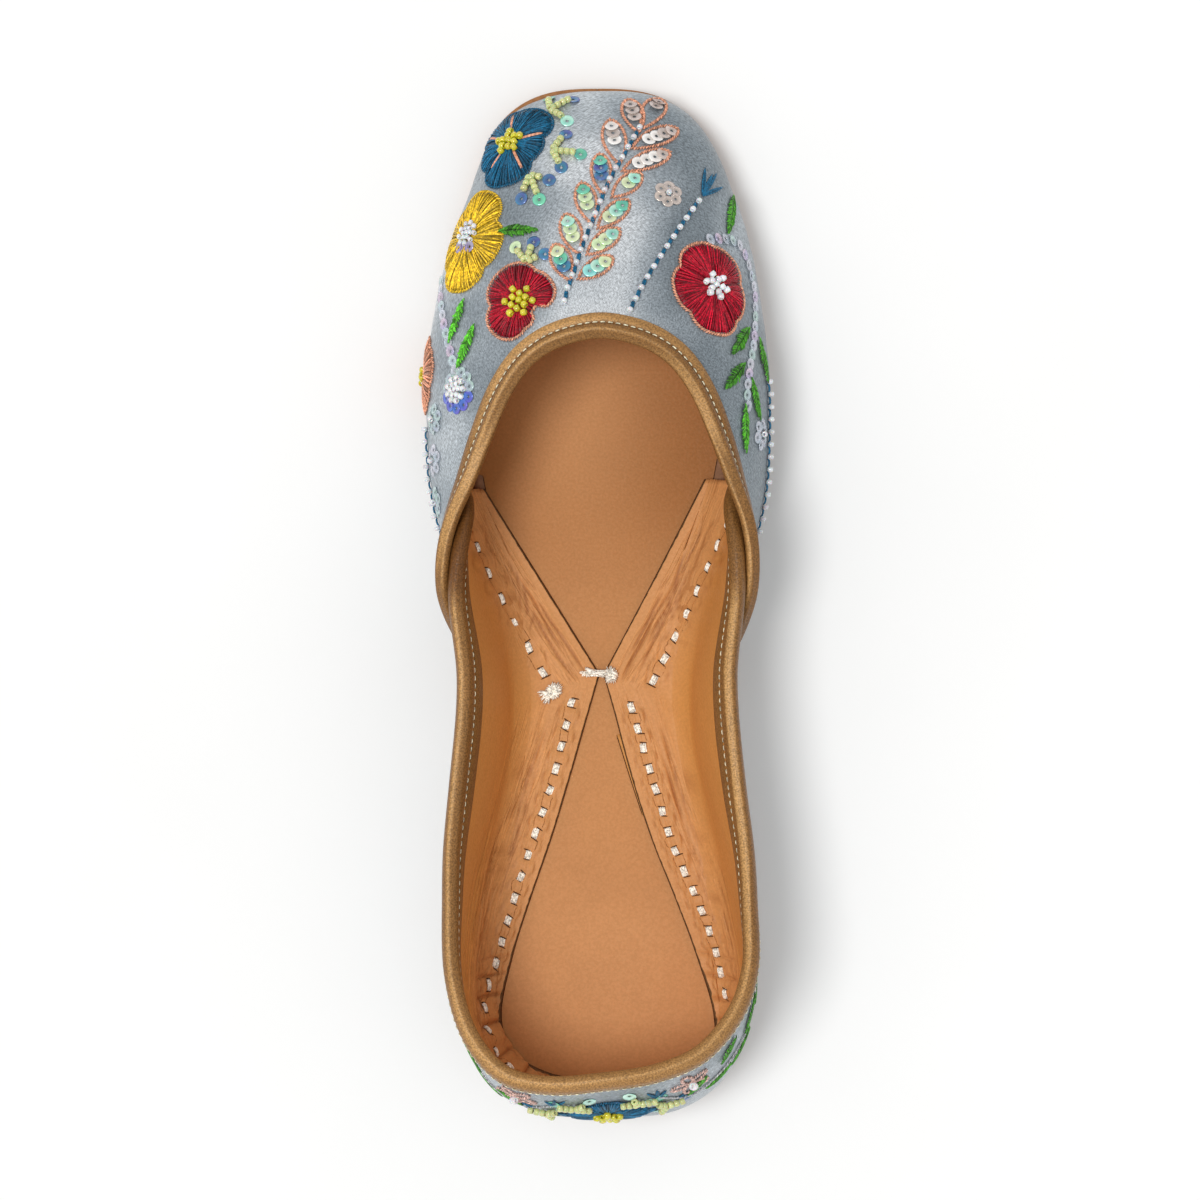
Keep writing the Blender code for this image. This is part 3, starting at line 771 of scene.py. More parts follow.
def make_leather(
    name, full, worn_and_lit, rough, grain=1500.0, speckle=0.05, depth=0.00005, cloud=0.03, creased=False,
):
    """Finished leather. Its colour goes from full to worn_and_lit with the mesh's own "rubbed" value: a
    paler edge on the turned-in leather, painted light and shade on the insole and the rims.
    """
    material, shader = new_material(name, Base_Color=full, Roughness=rough, Specular_IOR_Level=0.25)
    where = own_places(material)
    tone = mixed(material, "MIX", own_value(material, "rubbed"), full, worn_and_lit)
    # The "fold" value darkens the leather with painted shade: in the lining's folds, and on the rim's strip
    # under the vamp's wing
    shadow = ramp(material, own_value(material, "fold"), ((0.0, grey(1.0)), (1.0, FOLD_SHADE)))
    tone = times(material, tone, shadow)
    under = None
    if creased:
        tone, height = crumpled(material, tone)
        under = bumped(material, height, 0.0004, 0.6)
    wide = noise(material, where, 60.0, 3.0, 0.5)
    tone = times(material, tone, levels(material, wide, (0.3, 1.0 - cloud), (0.7, 1.0 + cloud)))
    close = noise(material, where, grain, 3.0, 0.6)
    fleck = levels(material, close, (0.38, 1.0 - speckle), (0.5, 1.0), (0.62, 1.0 + speckle))
    link(material, times(material, tone, fleck), shader.inputs["Base Color"])
    gloss = levels(material, close, (0.3, rough + 0.08), (0.7, rough - 0.04))
    link(material, gloss, shader.inputs["Roughness"])
    pores = add_node(
        material, "ShaderNodeTexVoronoi", Scale=grain * 0.8, feature="SMOOTH_F1", Smoothness=0.6,
    )
    link(material, where, pores.inputs["Vector"])
    coarse = bumped(material, close, depth, 0.7, under)
    pored = bumped(material, pores.outputs["Distance"], depth, 0.6, coarse)
    link(material, pored, shader.inputs["Normal"])
    return material


# The satin's two sets of threads: angle in degrees, how much longer than wide its flecks are, and
# how many of them lie in a metre
WARP = (34.0, 3.2, 2600.0)
WEFT = (-30.0, 3.0, 2400.0)


def make_satin():
    """Silver blue satin: cloudy tone with a painted sheen from its "shine" value, and a fine slanting weave
    of bright and dull threads.
    """
    material, shader = new_material(
        "satin", Base_Color=colour(150, 158, 164), Roughness=0.30, Specular_IOR_Level=0.5, Metallic=0.5,
    )
    clouds = noise(material, own_places(material), 34.0, 2.0, 0.5)
    # The shine value adds a painted highlight and painted shade to the clouds
    clouds = mixed(material, "ADD", 1.0, clouds, own_value(material, "shine"))
    shades = (
        (0.30, colour(126, 136, 143)), (0.44, colour(152, 161, 168)), (0.56, colour(174, 182, 188)),
        (0.72, colour(214, 219, 223)),
    )
    tone = ramp(material, clouds, shades)
    cloth = mapped(material, "cloth")
    weaves = []
    for turn, long, scale in (WARP, WEFT):
        lying = stretched(
            material, cloth, vector_type="TEXTURE", Rotation=(0.0, 0.0, math.radians(turn)),
            Scale=(long, 1.0, 1.0),
        )
        weaves.append(noise(material, lying, scale, 2.0, 0.6))
    fleck = levels(material, weaves[0], (0.38, 0.72), (0.5, 1.0), (0.62, 1.24))
    cross = levels(material, weaves[1], (0.38, 0.80), (0.5, 1.0), (0.62, 1.18))
    woven = times(material, times(material, tone, fleck), cross)
    link(material, woven, shader.inputs["Base Color"])
    link(material, levels(material, weaves[0], (0.3, 0.44), (0.7, 0.26)), shader.inputs["Roughness"])
    fine = bumped(material, weaves[0], 0.00012, 0.8)
    link(material, bumped(material, weaves[1], 0.00010, 0.8, fine), shader.inputs["Normal"])
    return material


# The grain of leather that isn't finished to shine
COARSE = 900.0


def build_materials():
    return {
        "satin": make_satin(),
        # Its first colour is painted shade under the vamp, its second the painted light where the vamp
        # leaves it open
        "insole": make_leather("insole_leather", colour(158, 99, 40), colour(204, 143, 87), 0.50),
        "lining": make_leather("lining_leather", colour(208, 144, 76), colour(208, 147, 90), 0.5),
        "folded": make_leather(
            "folded_leather", colour(208, 144, 76), colour(208, 147, 90), 0.5, cloud=0.02, creased=True,
        ),
        "cut": make_leather(
            "cut_leather_edge", colour(84, 64, 40), colour(110, 84, 54), 0.8, COARSE, speckle=0.2,
        ),
        # Its second colour is the rims' painted highlight
        "binding": make_leather(
            "binding_leather", colour(126, 87, 45), colour(184, 140, 86), 0.34, grain=2500.0,
            speckle=0.34, depth=0.00012, cloud=0.05,
        ),
        "sole": make_leather(
            "sole_leather", colour(158, 108, 66), colour(176, 126, 80), 0.62, COARSE, speckle=0.1,
        ),
        "lift": make_leather(
            "lift_leather", colour(78, 49, 30), colour(96, 62, 38), 0.55, COARSE, speckle=0.1,
        ),
    }


# ---------------------------------------------------------------------------------------------
# Thread, bead and sequin materials
# ---------------------------------------------------------------------------------------------


def toned(material, shade):
    """The colour times each small piece's own tone."""
    return times(material, shade, own_value(material, "tone"))


def make_thread(name, shade, rough=0.40, sheen=0.1):
    """Silk or cotton floss: fine twist along each strand, a soft sheen."""
    material, shader = new_material(
        name, Base_Color=shade, Roughness=rough, Sheen_Weight=sheen, Sheen_Roughness=0.35,
        Specular_IOR_Level=0.3,
    )
    where = own_places(material)
    fibre = levels(material, noise(material, where, 1900.0, 2.0), (0.36, 0.62), (0.5, 0.98), (0.64, 1.42))
    link(material, times(material, toned(material, shade), fibre), shader.inputs["Base Color"])
    twist = bumped(material, noise(material, where, 3200.0, 2.0), 0.00008, 0.7)
    link(material, twist, shader.inputs["Normal"])
    return material


def make_bead(name, shade, milky, rough=0.12):
    """Glass with a pearly lining: gloss over a milky body."""
    material, shader = new_material(
        name, Base_Color=shade, Roughness=rough, Coat_Weight=0.6, Coat_Roughness=0.08,
        Subsurface_Weight=milky, Subsurface_Scale=0.001, Specular_IOR_Level=0.6,
    )
    cloud = levels(material, noise(material, own_places(material), 700.0, 2.0), (0.3, 0.84), (0.7, 1.1))
    link(material, times(material, toned(material, shade), cloud), shader.inputs["Base Color"])
    return material


def make_sequin(name, first, second, alpha):
    """A pearly disc whose colour drifts between two shades, under a thin film."""
    material, shader = new_material(
        name, Base_Color=first, Roughness=0.22, Metallic=0.25, Alpha=alpha, Coat_Weight=0.5,
        Coat_Roughness=0.1, Thin_Film_Thickness=420.0, Thin_Film_IOR=1.6,
    )
    cloud = noise(material, own_places(material), 330.0, 2.0)
    drift = ramp(material, cloud, ((0.36, first), (0.64, second)))
    link(material, toned(material, drift), shader.inputs["Base Color"])
    return material


def build_trim_materials():
    threads = {
        "blue_thread": colour(22, 98, 134),
        "yellow_thread": colour(238, 197, 46),
        "red_thread": colour(178, 12, 42),
        "peach_thread": colour(232, 166, 134),
        "green_thread": colour(92, 184, 48),
        "pink_thread": colour(226, 188, 176),
        "silver_thread": colour(188, 188, 190),
        "seam_thread": colour(226, 218, 188),
        "cotton": colour(250, 245, 232),
    }
    made = {name: make_thread(name, shade) for name, shade in threads.items()}
    made["slit"] = make_thread("slit", colour(84, 50, 24), 0.9, sheen=0.0)
    # Thin dark lines of painted shade in fine folds
    made["painted_fold_shade"] = make_thread("painted_fold_shade", colour(172, 112, 60), 0.8, sheen=0.0)
    tab = colour(146, 106, 78)
    made["tab"] = make_leather("tab_leather", tab, tab, 0.7, COARSE, speckle=0.12)
    made["lime_bead"] = make_bead("lime_bead", colour(206, 212, 146), 0.3)
    made["yellow_bead"] = make_bead("yellow_bead", colour(214, 204, 40), 0.3)
    made["white_bead"] = make_bead("white_bead", colour(236, 236, 238), 0.4)
    made["crystal_bead"] = make_bead("crystal_bead", colour(222, 226, 230), 0.3, 0.08)
    sequins = {
        "yellow": (colour(240, 244, 200), colour(214, 240, 190)),
        "mint": (colour(206, 244, 224), colour(160, 232, 214)),
        "green": (colour(126, 214, 176), colour(96, 186, 176)),
        "cyan": (colour(150, 232, 232), colour(180, 240, 226)),
        "violet": (colour(92, 88, 166), colour(70, 142, 176)),
        "lilac": (colour(170, 150, 200), colour(196, 186, 216)),
        "blue": (colour(80, 124, 216), colour(108, 92, 200)),
        "pearl": (colour(255, 252, 248), colour(250, 240, 234)),
        "blush": (colour(234, 216, 206), colour(222, 206, 198)),
        "clear": (colour(246, 244, 254), colour(222, 234, 246)),
        "rose_clear": (colour(246, 222, 240), colour(220, 212, 250)),
        "mint_clear": (colour(222, 250, 240), colour(220, 228, 246)),
    }
    clear = {"blush": 0.75, "clear": 0.5, "rose_clear": 0.5, "mint_clear": 0.55, "lilac": 0.85}
    for name, (first, second) in sequins.items():
        made["sequin_" + name] = make_sequin("sequin_" + name, first, second, clear.get(name, 1.0))
    return made


# ---------------------------------------------------------------------------------------------
# Walls, strips, leather and soles
# ---------------------------------------------------------------------------------------------
WING_SPAN = 0.16
VAMP_ROWS = 81
QUARTER_ROWS = 41
# Heights in mm of the satin's soft swells, and of its ripples round a flower
WIDE_SWELL = 0.16
CLOSE_SWELL = 0.05
LAP_SWELL = 0.9
PUCKER = 0.07
PUCKER_DIP = 0.05
PUCKERS_AROUND = 15.0


def cloth_places(points):
    """Each grid point's place on the cloth before it was lasted, from lengths along rows and columns."""
    up = np.linalg.norm(np.diff(points, axis=1), axis=-1)
    read_at = points.shape[1] // 3
    u = lengths_along(points[:, read_at])[:, None] + np.zeros(points.shape[1])
    v = np.concatenate([np.zeros((points.shape[0], 1)), np.cumsum(up, axis=1)], axis=1)
    return np.stack([u, v], -1)


def vamp_edge_stations(count_wing, count_front):
    """Stations round the vamp, wing to wing, closest at the wings' tips where the edge falls."""
    tail = station_at(WING_END)
    wing = tail + WING_SPAN * np.linspace(0.0, 1.0, count_wing)[:-1] ** 1.25
    half = np.concatenate([wing, np.linspace(tail + WING_SPAN, 1.0, count_front)])
    return np.concatenate([half, 2.0 - half[-2::-1]])


def build_vamp(materials):
    """The satin front over its leather lining. Returns the outer grid for the embroidery to lie on."""
    stations = vamp_edge_stations(60, 150)
    share = np.linspace(0.0, 1.0, VAMP_ROWS)[None, :] * wing_top(stations)[:, None]
    place = np.broadcast_to(stations[:, None], share.shape)
    smooth = skin(place, share)
    swell = WIDE_SWELL * MM * soft_noise(smooth[..., 0] + smooth[..., 2], smooth[..., 1], 0.034, 3)
    swell += CLOSE_SWELL * MM * soft_noise(smooth[..., 0] - smooth[..., 2], smooth[..., 1], 0.011, 9)
    swell += flower_puckers(smooth)
    swell *= between(0.0, 0.12, 0.90, 0.97, share)
    # The satin laps over the sole's edge on the inner side of the toe
    lap = between(0.74, 0.84, 1.00, 1.06, place)
    swell += LAP_SWELL * MM * lap * (1.0 - smoothstep(0.10, 0.40, share))
    outer = skin(place, share, -swell)
    inner = skin(place, share, VAMP_WALL)
    sides = [materials["satin"], materials["lining"]]
    thing = wall_mesh("vamp_satin", outer, inner, sides, cloth_places(outer))
    shine = painted_satin_sheen(outer[..., 0] / MM, outer[..., 1] / MM)
    add_values(thing.data, "shine", np.concatenate([shine, shine]))
    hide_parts("vamp")
    return outer


def painted_satin_sheen(across, along):
    """How much lighter or duller the satin is painted at a place in mm: a painted highlight streak, painted
    shade on the flanks.
    """
    streak = 0.16 * hill(across + 1.0, 13.0) * smoothstep(20.0, 60.0, along)
    inner_side = 0.16 * smoothstep(6.0, 22.0, across)
    outer_side = 0.10 * hill(across + 24.0, 9.0)
    toe_side = 0.06 * smoothstep(18.0, 26.0, across) * smoothstep(70.0, 92.0, along)
    return streak - inner_side - outer_side - toe_side


def flower_puckers(surface):
    """Ripples in the satin that run outwards from each flower's edge, where its threads pull."""
    relief = np.zeros(surface.shape[:-1])
    for flower in named_rows(PETAL_FLOWERS):
        place = np.array(flower["place"], float) * MM
        flat = surface[..., :2] - place[:2]
        if len(place) == 3:
            away = np.linalg.norm(surface - place, axis=-1)
            angle = np.arctan2(surface[..., 1] - place[1], surface[..., 2] - place[2])
        else:
            away = np.linalg.norm(flat, axis=-1)
            angle = np.arctan2(flat[..., 1], flat[..., 0])
        reach = max(length for _, length, _ in flower["petals"]) * MM
        ring = hill(away - reach - 1.0 * MM, 2.2 * MM)
        ripple = PUCKER * np.cos(PUCKERS_AROUND * angle + place[0] * 900.0)
        relief += ring * (ripple - PUCKER_DIP) * MM
    return relief


def fine_quarter_stations(count_behind, count_before):
    """Stations along one side of the quarter, from the heel to its front end."""
    crossing = column(FLANGE_ROWS, "wall")[0]
    behind = np.linspace(0.0, crossing, count_behind)
    before = np.linspace(crossing, station_at(QUARTER_FRONT), count_before)
    return np.concatenate([behind, before[1:]])


def quarter_edge_stations(count_behind, count_before):
    """The same round the heel, from one front end to the other."""
    half = fine_quarter_stations(count_behind, count_before)
    return np.concatenate([-half[:0:-1], half])


def build_quarter(materials):
    """The satin back. Returns the outer grid for the embroidery to lie on."""
    stations = quarter_edge_stations(131, 61)
    share = np.linspace(0.0, 1.0, QUARTER_ROWS)[None, :] * quarter_top(stations)[:, None]
    place = np.broadcast_to(stations[:, None], share.shape)
    inset = quarter_inset(place)
    outer = skin(place, share, inset)
    inner = skin(place, share, inset + QUARTER_WALL)
    sides = [materials["satin"], materials["lining"]]
    thing = wall_mesh("quarter_satin", outer, inner, sides, cloth_places(outer))
    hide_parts("quarter")
    return outer


def strip_points(top, depth, stations, profile):
    """Rings of a folded strip round a wall's top edge. Profile: (up off the edge, out from the wall)."""
    share, point, normal, off = edge_frame(top, stations, depth)
    rows = []
    for up, out in profile:
        if up >= 0.0:
            rows.append(point + off * up + normal * out)
        else:
            place, height = down_from_edge(stations, share, off, -up)
            rows.append(skin(place, height, depth(place) - out))
    return np.stack(rows, 1)


def finer(profile, first, last):
    """The same profile with twice as many points from first to last, on a smooth curve."""
    points = np.array(profile)
    made = []
    for at, point in enumerate(points):
        made.append(point)
        if first <= at < last:
            before, after, far = points[at - 1], points[at + 1], points[at + 2]
            made.append((9.0 * (point + after) - before - far) / 16.0)
    return np.array(made)


# The way the key light comes from: the rims' painted highlight is brightest where they face it
KEY_LIGHT_FROM = np.array([-0.287, 0.0, 0.958])
# The point of either strip's profile that lies on the crest of its roll
CREST = 10
# How many stations the strips and their seams are read at
VAMP_STRIP_COUNTS = (90, 150)
QUARTER_STRIP_COUNTS = (161, 81)


def painted_crest_highlight(rings, crest):
    """A painted highlight on a rim: palest where it faces up and a little to the left, towards the key
    light.
    """
    around = np.roll(rings, -1, axis=1) - np.roll(rings, 1, axis=1)
    facing = unit(np.cross(np.gradient(rings, axis=0), around))
    facing = facing * np.sign(facing[:, crest, 2].mean())
    exposed = facing @ KEY_LIGHT_FROM
    return 0.15 * smoothstep(0.45, 0.86, exposed) + 0.85 * smoothstep(0.86, 0.995, exposed)


def build_vamp_binding(materials):
    """Flat stitched strip outside, rolled edge, thin turned end inside."""
    near = GAP
    flat = GAP + BINDING_LEATHER
    back = -VAMP_WALL
    groove = -VAMP_SEAM
    profile = (
        (-VAMP_STRIP, near),
        (-VAMP_STRIP, 0.8 * flat),
        (-VAMP_STRIP + 0.15 * MM, flat),
        (groove - 0.5 * MM, flat + 0.05 * MM),
        (groove - 0.15 * MM, 0.72 * flat),
        (groove + 0.15 * MM, 0.72 * flat),
        (groove + 0.5 * MM, flat + 0.20 * MM),
        (-0.8 * MM, flat + 0.38 * MM),
        (-0.2 * MM, flat + 0.45 * MM),
        (0.45 * MM, flat + 0.25 * MM),
        (1.1 * MM, 0.35 * MM),
        (VAMP_ROLL, -0.45 * MM),
        (VAMP_ROLL - 0.1 * MM, -1.1 * MM),
        (1.2 * MM, back - 0.15 * MM),
        (0.4 * MM, back - 0.42 * MM),
        (-1.0 * MM, back - 0.45 * MM),
        (-4.2 * MM, back - 0.45 * MM),
        (-4.3 * MM, back - 0.10 * MM),
        (-1.0 * MM, back - 0.10 * MM),
        (near, back - 0.05 * MM),
        (near, near),
        (-2.0 * MM, near),
    )
    profile = finer(profile, 6, 14)
    rings = strip_points(wing_top, vamp_depth, vamp_edge_stations(*VAMP_STRIP_COUNTS), profile)
    rubbed = painted_crest_highlight(rings, CREST)
    # More painted light on the flat edge by the wall on the toe, and no painted highlight in the stitch
    # groove
    rubbed[:, :4] += 0.4 * smoothstep(40.0 * MM, 60.0 * MM, rings[:, :4, 1])
    rubbed[:, 4:6] = 0.0
    thing = ring_mesh("vamp_binding_strip", rings, [materials["binding"]], rubbed)
    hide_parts("vamp_binding")


def build_quarter_binding(materials):
    """Narrow strip outside, rolled edge, wide stitched strip inside."""
    near = GAP
    flat = GAP + BINDING_LEATHER
    back = -QUARTER_WALL
    profile = (
        (-QUARTER_STRIP_OUTSIDE, near),
        (-QUARTER_STRIP_OUTSIDE, 0.8 * flat),
        (-QUARTER_STRIP_OUTSIDE + 0.15 * MM, flat),
        (-1.4 * MM, flat + 0.05 * MM),
        (-0.3 * MM, flat + 0.12 * MM),
        (0.7 * MM, 0.7 * MM),
        (1.4 * MM, 0.1 * MM),
        (QUARTER_ROLL, -0.7 * MM),
        (1.75 * MM, -1.5 * MM),
        (1.2 * MM, back - 0.5 * MM),
        (0.4 * MM, back - flat - 0.1 * MM),
        (-1.2 * MM, back - flat - 0.12 * MM),
        (-QUARTER_SEAM + 0.4 * MM, back - flat),
        (-QUARTER_SEAM + 0.15 * MM, back - 0.7 * flat),
        (-QUARTER_SEAM - 0.15 * MM, back - 0.7 * flat),
        (-QUARTER_SEAM - 0.5 * MM, back - flat),
        (-QUARTER_STRIP_INSIDE + 0.2 * MM, back - flat),
        (-QUARTER_STRIP_INSIDE, back - 0.8 * flat),
        (-QUARTER_STRIP_INSIDE, back - near),
        (-3.0 * MM, back - near),
        (near, back - near),
        (near, near),
    )
    profile = finer(profile, 4, 10)
    stations = quarter_edge_stations(*QUARTER_STRIP_COUNTS)
    rings = strip_points(quarter_top, quarter_inset, stations, profile)
    # Round the heel the whole strip is paler; under the vamp's wings its front ends get no painted
    # highlight, and on the left a painted shadow
    paler = 0.4 * (1.0 - smoothstep(0.10, 0.24, np.abs(stations)))[:, None]
    painted_wing_shadow = smoothstep(-4.0 * MM, 6.0 * MM, rings[..., 1])
    rubbed = np.clip(painted_crest_highlight(rings, CREST) + paler, 0.0, 1.0) * (1.0 - painted_wing_shadow)
    thing = ring_mesh("quarter_binding_strip", rings, [materials["binding"]], rubbed)
    add_values(thing.data, "fold", 0.8 * painted_wing_shadow * (rings[..., 0] < 0.0))
    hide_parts("quarter_binding")


FLANGE_CROSSING = named_rows(FLANGE_ROWS)[0]
FLANGE_FRONT = dict(zip(FLANGE_ROWS[0], STRAP_FRONT))


def cut_edge(wall, side):
    """The cut edge beside this station: straight in front of the crossing, curved behind it."""
    if wall > FLANGE_CROSSING["wall"]:
        span = FLANGE_FRONT["wall"] - FLANGE_CROSSING["wall"]
        share = (wall - FLANGE_CROSSING["wall"]) / span
        along, out = (
            FLANGE_CROSSING[k] + share * (FLANGE_FRONT[k] - FLANGE_CROSSING[k]) for k in ("along", side)
        )
    else:
        walls = column(FLANGE_ROWS, "wall")[::-1]
        along, out = (through(walls, column(FLANGE_ROWS, k)[::-1], wall) for k in ("along", side))
    return np.array([out * HALF_BALL, along * LENGTH])


# Points of one rib of the turned-in leather: on the wall, round the bend, on the insole, behind
WALL_POINTS = 84
BEND_POINTS = 14
FLOOR_POINTS = 60
BACK_POINTS = 14
# Stations: from, to and how many, with the heel's the closest
LINING_HEEL = (0.0, 0.20, 150)
LINING_SIDE_COUNT = 66
LINING_STRAP_COUNT = 44
CAMERA_PLACE = (0.0441, -0.0004, 1.300)
INSOLE_LEVEL = 0.012
# The slanted cut: how far it leans over, and how far in from the edge that is felt
CUT_SLANT = 0.00045
CUT_WIDTH = 0.0024
# Up the wall the turned-in leather is this thin, and it starts at this share of the wall's height
THIN_LEATHER = 0.0005
WALL_COVER = 0.93
# How far the right strap's end lies further in and further forward
STRAP_PULL = (0.0026, 0.0024)


def lining_rib(wall, cut):
    """From under the rim's strip, down the wall, round its foot and over the insole to the cut edge."""
    high = WALL_COVER * float(quarter_top(np.array([wall]))[0])
    heights = np.linspace(high, FLANGE_BEND_FROM, WALL_POINTS)
    depth = quarter_inset(wall) + QUARTER_WALL + GAP
    up = skin(np.full(heights.shape, wall), heights, depth)
    foot = skin(np.array([wall]), np.array([0.0]), depth)[0][:2]
    end = lasted(np.array([cut[0], cut[1], 0.0]))[:2]

    def on_insole(place):
        return np.array([*place, insole_top(place[1]) + GAP])

    span = np.linalg.norm(end - foot)
    rest = on_insole(foot + (end - foot) / span * min(FLANGE_TURN, FLANGE_TURN_SHARE * span))
    corner = np.array([*foot, rest[2]])
    turns = np.linspace(0.0, 1.0, BEND_POINTS + 2)[1:-1]
    bend = [up[-1] * (1 - s) ** 2 + 2 * corner * s * (1 - s) + rest * s**2 for s in turns]
    floor = [on_insole(rest[:2] * (1 - s) + end * s) for s in np.linspace(0.0, 1.0, FLOOR_POINTS)]
    return np.array([*up, *bend, *floor])


def lining_back(crossing, last):
    """The turned-in leather's hidden side, rib by rib from strap to strap round the heel.

    Returns its points, each rib's station as a column, and how far each point lies from the cut
    edge, over the leather.
    """
    spans = (
        LINING_HEEL, (LINING_HEEL[1], crossing, LINING_SIDE_COUNT), (crossing, last, LINING_STRAP_COUNT),
    )
    half = np.concatenate([np.linspace(*span)[:-1] for span in spans] + [[last]])
    ribs = [lining_rib(wall, cut_edge(wall, "right")) for wall in half[::-1]]
    ribs += [lining_rib(-wall, cut_edge(wall, "left") * (-1.0, 1.0)) for wall in half[1:]]
    back = np.array(ribs)
    wall = np.concatenate([half[::-1], -half[1:]])[:, None]
    step = np.linalg.norm(np.diff(back, axis=1), axis=-1)
    reach = np.concatenate([np.cumsum(step[:, ::-1], axis=1)[:, ::-1], np.zeros((len(back), 1))], axis=1)
    return back, wall, reach


def lean_cut(front, back, wall, reach):
    """The knife leaned over, so the cut face shows from above as a thin dark line."""
    outward = unit(back[:, -1] - back[:, -3])[:, None]
    nicks = 0.10 * MM * wave(wall * 0.7, 0.006, 33)
    heel = 1.0 - smoothstep(0.14, 0.22, np.abs(wall))
    nicks += 0.25 * MM * heel * (1.0 + wave(wall, 0.02, 34))
    slant = (CUT_SLANT + nicks) * (1.0 - smoothstep(0.0, CUT_WIDTH, reach))
    return front - outward * slant[..., None] * (reach < CUT_WIDTH)[..., None]


def build_lining(materials):
    """The turned-in leather: wall lining, straps and heel cup in one sheet, with its folds."""
    crossing, last = FLANGE_CROSSING["wall"], fine_quarter_stations(3, 60)[-2]
    back, wall, reach = lining_back(crossing, last)
    inward = -grid_normals(back)
    inward *= np.sign(inward[(len(back) + 1) // 2, -1, 2])
    # The right strap's end lies a little further in and forward
    pull = np.clip((wall - crossing) / (last - crossing), 0.0, 1.0)
    back[..., 0] -= STRAP_PULL[0] * pull * (1.0 - smoothstep(0.006, 0.022, reach))
    back[..., 1] += STRAP_PULL[1] * pull**2
    # folds: how deep in a fold each point lies, which sets the painted shade there
    relief, folds = lining_relief(wall, reach, back)
    crumple = crumple_share(wall, reach, back[..., 1])
    # Creases run along the shoe and spread from the crossing towards the heel
    spreading = 1.0 + 0.3 * smoothstep(-30.0 * MM, -88.0 * MM, back[..., 1])
    hide = np.stack([back[..., 1], (reach - 0.010) / spreading], -1)
    thick = THIN_LEATHER + (FLANGE_THICKNESS - THIN_LEATHER) * (1.0 - smoothstep(0.012, 0.026, reach))
    front = lean_cut(back + inward * (thick + relief)[..., None], back, wall, reach)
    few = np.round(np.linspace(back.shape[1] - 1, 0, BACK_POINTS)).astype(int)

    def round_ribs(near, far):
        """Values of the seen side, then of the few points of the hidden one."""
        return np.concatenate([near, far[:, few]], axis=1)

    rubbed = 1.0 - smoothstep(0.010, 0.024, reach)
    thing = ring_mesh(
        "turned_in_leather", round_ribs(front, back), [materials["folded"], materials["cut"]],
        round_ribs(rubbed, rubbed), flip=False, second=front.shape[1] - 1,
    )
    for name, values in (("fold", folds), ("crumple", crumple)):
        add_values(thing.data, name, round_ribs(values, values))
    add_places(thing.data, "hide", round_ribs(hide, hide).reshape(-1, 2))
    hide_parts("quarter_flange")
    return front


def crumple_share(wall, reach, along):
    """Where the leather has fine creases: on the straps, beside the stitches and on the left wall."""
    left = wall < 0.0
    strap = between(0.0012, 0.0030, 0.008, 0.013, reach)
    wide = np.where(left, 0.036, 0.020)
    rear = between(0.006, 0.010, 0.55 * wide, wide, reach)
    rear = rear * (1.0 - smoothstep(-0.036, -0.020, along)) * smoothstep(-0.118, -0.098, along)
    rear = np.maximum(rear * np.where(left, 1.0, 0.7), 0.25 * smoothstep(-0.118, -0.098, along))
    return np.where(np.abs(wall) > FLANGE_CROSSING["wall"], 0.7 * strap, 0.8 * rear * (reach > 0.0012))


LONG_CREASES = (
    # On the wall and flange behind the crossing: side, distance from the cut edge at the crossing
    # and at the heel, width and depth in mm, and where along the shoe it starts and ends
    ("side", "near", "far", "width", "depth", "front", "rear"),
    (
        ("left", 10.4, 10.0, 0.5, 0.60, -38.0, -112.0),
        ("left", 12.0, 11.8, 0.5, 0.75, -28.0, -104.0),
        ("left", 13.0, 14.2, 0.5, 0.70, -32.0, -116.0),
        ("left", 14.2, 16.6, 0.6, 0.90, -40.0, -108.0),
        ("left", 15.4, 18.8, 0.5, 0.70, -50.0, -118.0),
        ("left", 16.6, 21.0, 0.6, 0.85, -60.0, -112.0),
        ("left", 18.6, 23.4, 0.5, 0.75, -56.0, -116.0),
        ("left", 21.0, 26.0, 0.6, 0.75, -50.0, -106.0),
        ("left", 24.5, 29.0, 0.5, 0.60, -62.0, -112.0),
        ("left", 28.0, 32.5, 0.5, 0.50, -70.0, -110.0),
        ("right", 10.8, 10.6, 0.5, 0.60, -34.0, -100.0),
        ("right", 12.8, 12.8, 0.6, 0.85, -28.0, -94.0),
        ("right", 14.2, 15.6, 0.5, 0.70, -50.0, -104.0),
        ("right", 17.0, 18.6, 0.6, 0.50, -60.0, -102.0),
    ),
)
STRAP_CREASES = (
    # On the straps in front of the crossing: side, distance from the cut edge, width, depth, ends
    ("side", "near", "width", "depth", "rear", "front"),
    (
        ("left", 3.4, 0.4, 0.30, -20.0, 2.0),
        ("left", 4.8, 0.4, 0.45, -14.0, 12.0),
        ("left", 6.0, 0.4, 0.50, -22.0, 8.0),
        ("left", 7.2, 0.4, 0.45, -10.0, 18.0),
        ("left", 8.4, 0.4, 0.35, -4.0, 20.0),
        ("right", 3.4, 0.4, 0.30, -16.0, 4.0),
        ("right", 4.8, 0.4, 0.55, -22.0, 14.0),
        ("right", 6.0, 0.4, 0.55, -12.0, 20.0),
        ("right", 7.4, 0.4, 0.40, -20.0, 10.0),
        ("right", 8.6, 0.4, 0.35, -6.0, 20.0),
    ),
)


def seen_on_insole(points):
    """Where the camera sees these points against the insole's height."""
    share = (CAMERA_PLACE[2] - INSOLE_LEVEL) / (CAMERA_PLACE[2] - points[..., 2:])
    return CAMERA_PLACE[:2] + (points[..., :2] - CAMERA_PLACE[:2]) * share


